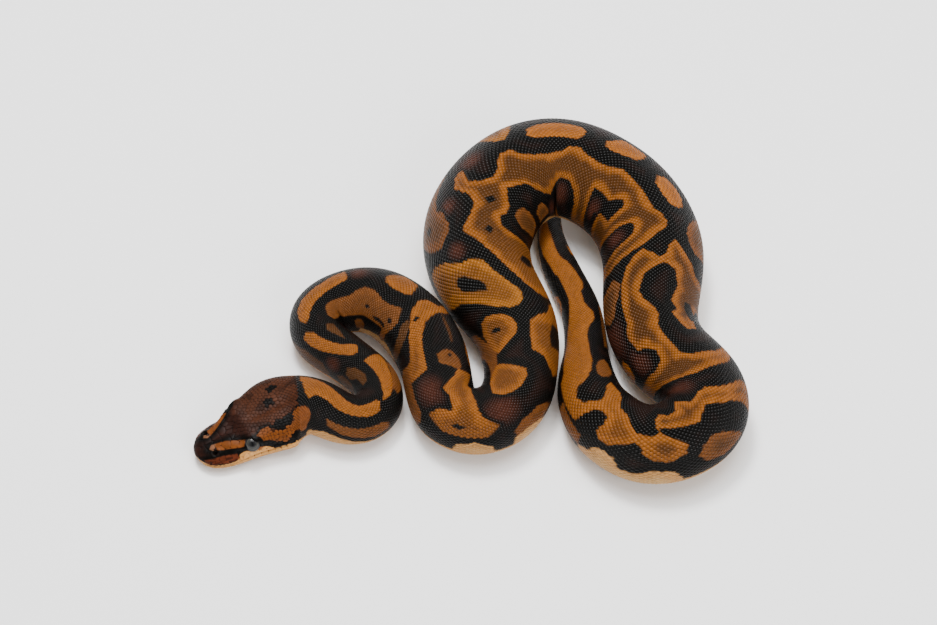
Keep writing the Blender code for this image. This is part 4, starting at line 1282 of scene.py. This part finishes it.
class PYTHON_OT_scutes(bpy.types.Operator):
    """Builds the broad scutes along the belly"""
    bl_idname = "ball_python.scutes"
    bl_label = "Belly scutes"

    def execute(self, context):
        surface, coat = shared()
        along = np.array([-1.0, -0.8, 0.2, 0.95, 1.12])
        rise = np.array([-0.3, -0.12, -0.03, -0.01, -0.3])
        across = np.linspace(-1, 1, 15)
        middles = np.arange(SCUTES_FROM + 1, LENGTH - 4, SCUTE_STEP)
        count = len(middles)
        grid_u, grid_v = np.meshgrid(along, across, indexing="ij")
        lift = rise[:, None] + np.where(np.abs(grid_v) > 0.99, -0.3, 0.0)
        s = (middles[:, None] + SCUTE_STEP / 2 * grid_u.ravel()[None]).ravel()
        t = np.tile(0.5 + SCUTE_HALF * 1.02 * grid_v.ravel(), count)
        points = surface.place(s, t, np.tile(lift.ravel(), count))
        points[:, 2] = np.maximum(points[:, 2], 0)
        colours, _ = coat.paint(s, t * 360)
        faces, closing = scute_faces(count, len(along), len(across))
        root = unrolled(middles, np.full(count, 0.5), SCUTES_FROM, LENGTH)
        patch = np.column_stack([grid_u.ravel(), grid_v.ravel()]) * PATCH / (2 * along[-1])
        flat = (root[:, None] + patch[None]).reshape(-1, 2)
        unwrap = np.concatenate([flat[faces.ravel()], flat[closing.ravel()]])
        piece = add_mesh("belly_scutes", points, [faces, closing], colours, unwrap)
        made = keratin("belly_scute_keratin", 0.36, mottle=0.08, relief_mm=0.02)
        finish_piece(piece, made)
        return {"FINISHED"}


def scute_faces(count, rows, columns):
    """Top faces of every scute, and the one face that closes each from below."""
    i, j = np.meshgrid(np.arange(rows - 1), np.arange(columns - 1), indexing="ij")
    corner = (i * columns + j).ravel()
    quad = np.column_stack([corner, corner + columns, corner + columns + 1, corner + 1])
    under = np.concatenate([np.arange(columns), np.arange(1, rows) * columns + columns - 1,
                            np.arange(columns - 2, -1, -1) + (rows - 1) * columns,
                            np.arange(rows - 2, 0, -1) * columns])
    base = np.arange(count)[:, None] * rows * columns
    return (base[:, None] + quad[None]).reshape(-1, 4), base + under[None]


class PYTHON_OT_head_scales(bpy.types.Operator):
    """Builds the head's plates: rostral, nasals, lips with heat pits, brows, eye rings and crown"""
    bl_idname = "ball_python.head_scales"
    bl_label = "Head plates"

    def execute(self, context):
        surface, coat = shared()
        points, faces, colours, unwrap = head_scales(surface, coat, context.scene.python_scales.gap / MM)
        corners = np.concatenate([np.asarray(group).ravel() for group in faces])
        piece = add_mesh("scales_head", points, faces, colours, unwrap[corners])
        made = keratin("head_plate_keratin", 0.42, mottle=0.16, relief_mm=0.02, gloss=0.05)
        finish_piece(piece, made)
        return {"FINISHED"}


class PYTHON_OT_eyes(bpy.types.Operator):
    """Builds both eyes, each one ball that bulges with its clear spectacle, with an upright pupil"""
    bl_idname = "ball_python.eyes"
    bl_label = "Eyes"

    def execute(self, context):
        made = self.eye_material(context.scene.python_eyes)
        tip, forward, left = head_frame()
        for side, name in ((1, "eye_left"), (-1, "eye_right")):
            middle = (tip + forward * EYE_AT + left * side * EYE_OUT + np.array([0, 0, EYE_HEIGHT])) * MM
            gaze = left * side * EYE_GAZE[0] + forward * EYE_GAZE[1] + np.array([0, 0, EYE_GAZE[2]])
            gaze /= np.linalg.norm(gaze)
            deselect_all()
            bpy.ops.mesh.primitive_uv_sphere_add(segments=64, ring_count=40, radius=EYE_RADIUS * MM)
            ball = bpy.context.object
            ball.name = name + "_ball"
            self.shape(ball, middle, gaze)
            finish_piece(ball, made, [name])
        return {"FINISHED"}

    def shape(self, ball, middle, gaze):
        """Bulge the spectacle, mark each point's angle off the gaze, and set the eye in its place."""
        right = np.cross([0, 0, 1], gaze)
        right /= np.linalg.norm(right)
        upward = np.cross(gaze, right)
        points = np.array([v.co[:] for v in ball.data.vertices])
        radius = EYE_RADIUS * MM
        off = np.arccos(np.clip(points[:, 2] / radius, -1, 1))
        bulge = 1 + SPECTACLE * hill(off, 0.9)
        turned = points[:, :1] * right + points[:, 1:2] * upward + points[:, 2:] * gaze
        placed = turned * bulge[:, None] + middle
        for vert, co in zip(ball.data.vertices, placed):
            vert.co = co
        set_colours(ball.data, "eye_angle", np.column_stack([off / pi, points[:, :2] / radius * 0.5 + 0.5]))
        ball.data.uv_layers[0].name = "OFBake"
        ball.data.shade_smooth()

    def eye_material(self, settings):
        """Wet spectacle over a grey iris, paler to its rim, round a dark upright pupil."""
        made, tree, shader = new_material("eye_under_clear_spectacle")
        mark = add_node(tree, "ShaderNodeAttribute", {}, attribute_name="eye_angle")
        parts = add_node(tree, "ShaderNodeSeparateColor", {0: mark.outputs["Color"]})
        iris = add_node(tree, "ShaderNodeValToRGB", {0: parts.outputs[0]})
        rim = tuple(settings.iris)
        stops = [(0.0, (0.006, 0.006, 0.006)), (0.09, (0.010, 0.010, 0.010)), (0.15, (0.026, 0.026, 0.025)),
                 (0.195, tuple(0.5 * c for c in rim)), (0.222, rim), (0.238, tuple(0.4 * c for c in rim)),
                 (0.25, (0.010, 0.010, 0.011)), (1.0, (0.006, 0.006, 0.006))]
        ramp = iris.color_ramp
        while len(ramp.elements) < len(stops):
            ramp.elements.new(0.5)
        for element, (where, colour) in zip(ramp.elements, stops):
            element.position = where
            element.color = (*colour, 1)
        # the pupil is an upright oval: far from the middle across counts for more than far up
        across = reckon(tree, "SUBTRACT", parts.outputs[1], 0.5)
        up = reckon(tree, "SUBTRACT", parts.outputs[2], 0.5)
        wide = reckon(tree, "MULTIPLY", across, 2.1)
        wide_square = reckon(tree, "MULTIPLY", wide, wide)
        up_square = reckon(tree, "MULTIPLY", up, up)
        far = reckon(tree, "ADD", wide_square, up_square)
        slit = add_node(tree, "ShaderNodeMapRange", {"Value": far},
                        {"From Min": 0.012, "From Max": 0.020, "To Min": 1.0, "To Max": 0.0})
        colour = add_node(tree, "ShaderNodeMix", {}, data_type="RGBA")
        tree.links.new(slit.outputs["Result"], colour.inputs["Factor"])
        tree.links.new(iris.outputs["Color"], colour.inputs["A"])
        colour.inputs["B"].default_value = (*settings.pupil, 1)
        tree.links.new(colour.outputs["Result"], shader.inputs["Base Color"])
        set_sockets(shader, {"Roughness": 0.12, "IOR": 1.38, "Specular IOR Level": 0.15,
                             "Coat Weight": 0.2, "Coat Roughness": 0.03})
        return made


class PYTHON_OT_stage(bpy.types.Operator):
    """Builds the plain floor, the soft lights and the camera"""
    bl_idname = "ball_python.stage"
    bl_label = "Stage"

    def execute(self, context):
        settings = context.scene.python_stage
        deselect_all()
        bpy.ops.mesh.primitive_plane_add(size=6.0, location=(0, 0, 0))
        floor = bpy.context.object
        floor.name = "floor"
        made, _, shader = new_material("matt_paper_floor")
        set_sockets(shader, {"Base Color": (*settings.floor, 1), "Roughness": 0.9, "Specular IOR Level": 0.2})
        floor.data.materials.append(made)
        self.lamp("soft_key", (-0.12, 0.25, 0.80), 0.20, settings.light)
        self.lamp("soft_top", (0.05, 0.15, 1.00), 0.80, settings.light * 2.0)
        fill = self.lamp("soft_fill", (0.50, -0.80, 0.45), 0.70, settings.light * 1.5)
        fill.visible_glossy = False      # it lifts the shade without a second highlight on eyes and scales
        world = context.scene.world or bpy.data.worlds.new("studio")
        context.scene.world = world
        world.use_nodes = True
        set_sockets(world.node_tree.nodes["Background"], {"Color": (1, 1, 1, 1), "Strength": 0.5})
        eye = bpy.data.cameras.new("camera")
        eye.lens = 109.3
        eye.sensor_width = 36.0
        eye.clip_start = 0.01
        camera = bpy.data.objects.new("camera", eye)
        camera.location = (-0.0007, -0.45445, 0.5462)
        camera.rotation_euler = (radians(40), 0, 0)
        context.scene.collection.objects.link(camera)
        context.scene.camera = camera
        return {"FINISHED"}

    def lamp(self, name, place, size, power):
        """A square soft lamp that faces the middle of the floor."""
        data = bpy.data.lights.new(name, "AREA")
        data.size = size
        data.energy = power
        lamp = bpy.data.objects.new(name, data)
        lamp.location = place
        lamp.rotation_euler = (-Vector(place)).to_track_quat("-Z", "Y").to_euler()
        bpy.context.scene.collection.objects.link(lamp)
        return lamp


OPERATORS = (PYTHON_OT_skin, PYTHON_OT_head_scales, PYTHON_OT_body_scales, PYTHON_OT_scutes, PYTHON_OT_eyes,
             PYTHON_OT_stage)
GROUPS = {"python_skin": PythonSkinSettings, "python_scales": PythonScaleSettings,
          "python_eyes": PythonEyeSettings, "python_stage": PythonStageSettings}


class PYTHON_PT_panel(bpy.types.Panel):
    """Lists the pieces of the snake and their settings"""
    bl_idname = "PYTHON_PT_panel"
    bl_label = "Coiled Ball Python"
    bl_space_type = "VIEW_3D"
    bl_region_type = "UI"
    bl_category = "Python"

    def draw(self, context):
        for operator in OPERATORS:
            self.layout.operator(operator.bl_idname)
        for name, group in GROUPS.items():
            box = self.layout.box()
            for key in group.__annotations__:
                box.prop(getattr(context.scene, name), key)


def register():
    for group in GROUPS.values():
        bpy.utils.register_class(group)
    for name, group in GROUPS.items():
        setattr(bpy.types.Scene, name, bpy.props.PointerProperty(type=group))
    for operator in OPERATORS:
        bpy.utils.register_class(operator)
    bpy.utils.register_class(PYTHON_PT_panel)


def unregister():
    bpy.utils.unregister_class(PYTHON_PT_panel)
    for operator in reversed(OPERATORS):
        bpy.utils.unregister_class(operator)
    for name, group in GROUPS.items():
        delattr(bpy.types.Scene, name)
        bpy.utils.unregister_class(group)


def main():
    register()
    bpy.ops.ball_python.skin()
    bpy.ops.ball_python.head_scales()
    bpy.ops.ball_python.body_scales()
    bpy.ops.ball_python.scutes()
    bpy.ops.ball_python.eyes()
    bpy.ops.ball_python.stage()


if __name__ == "__main__":
    main()
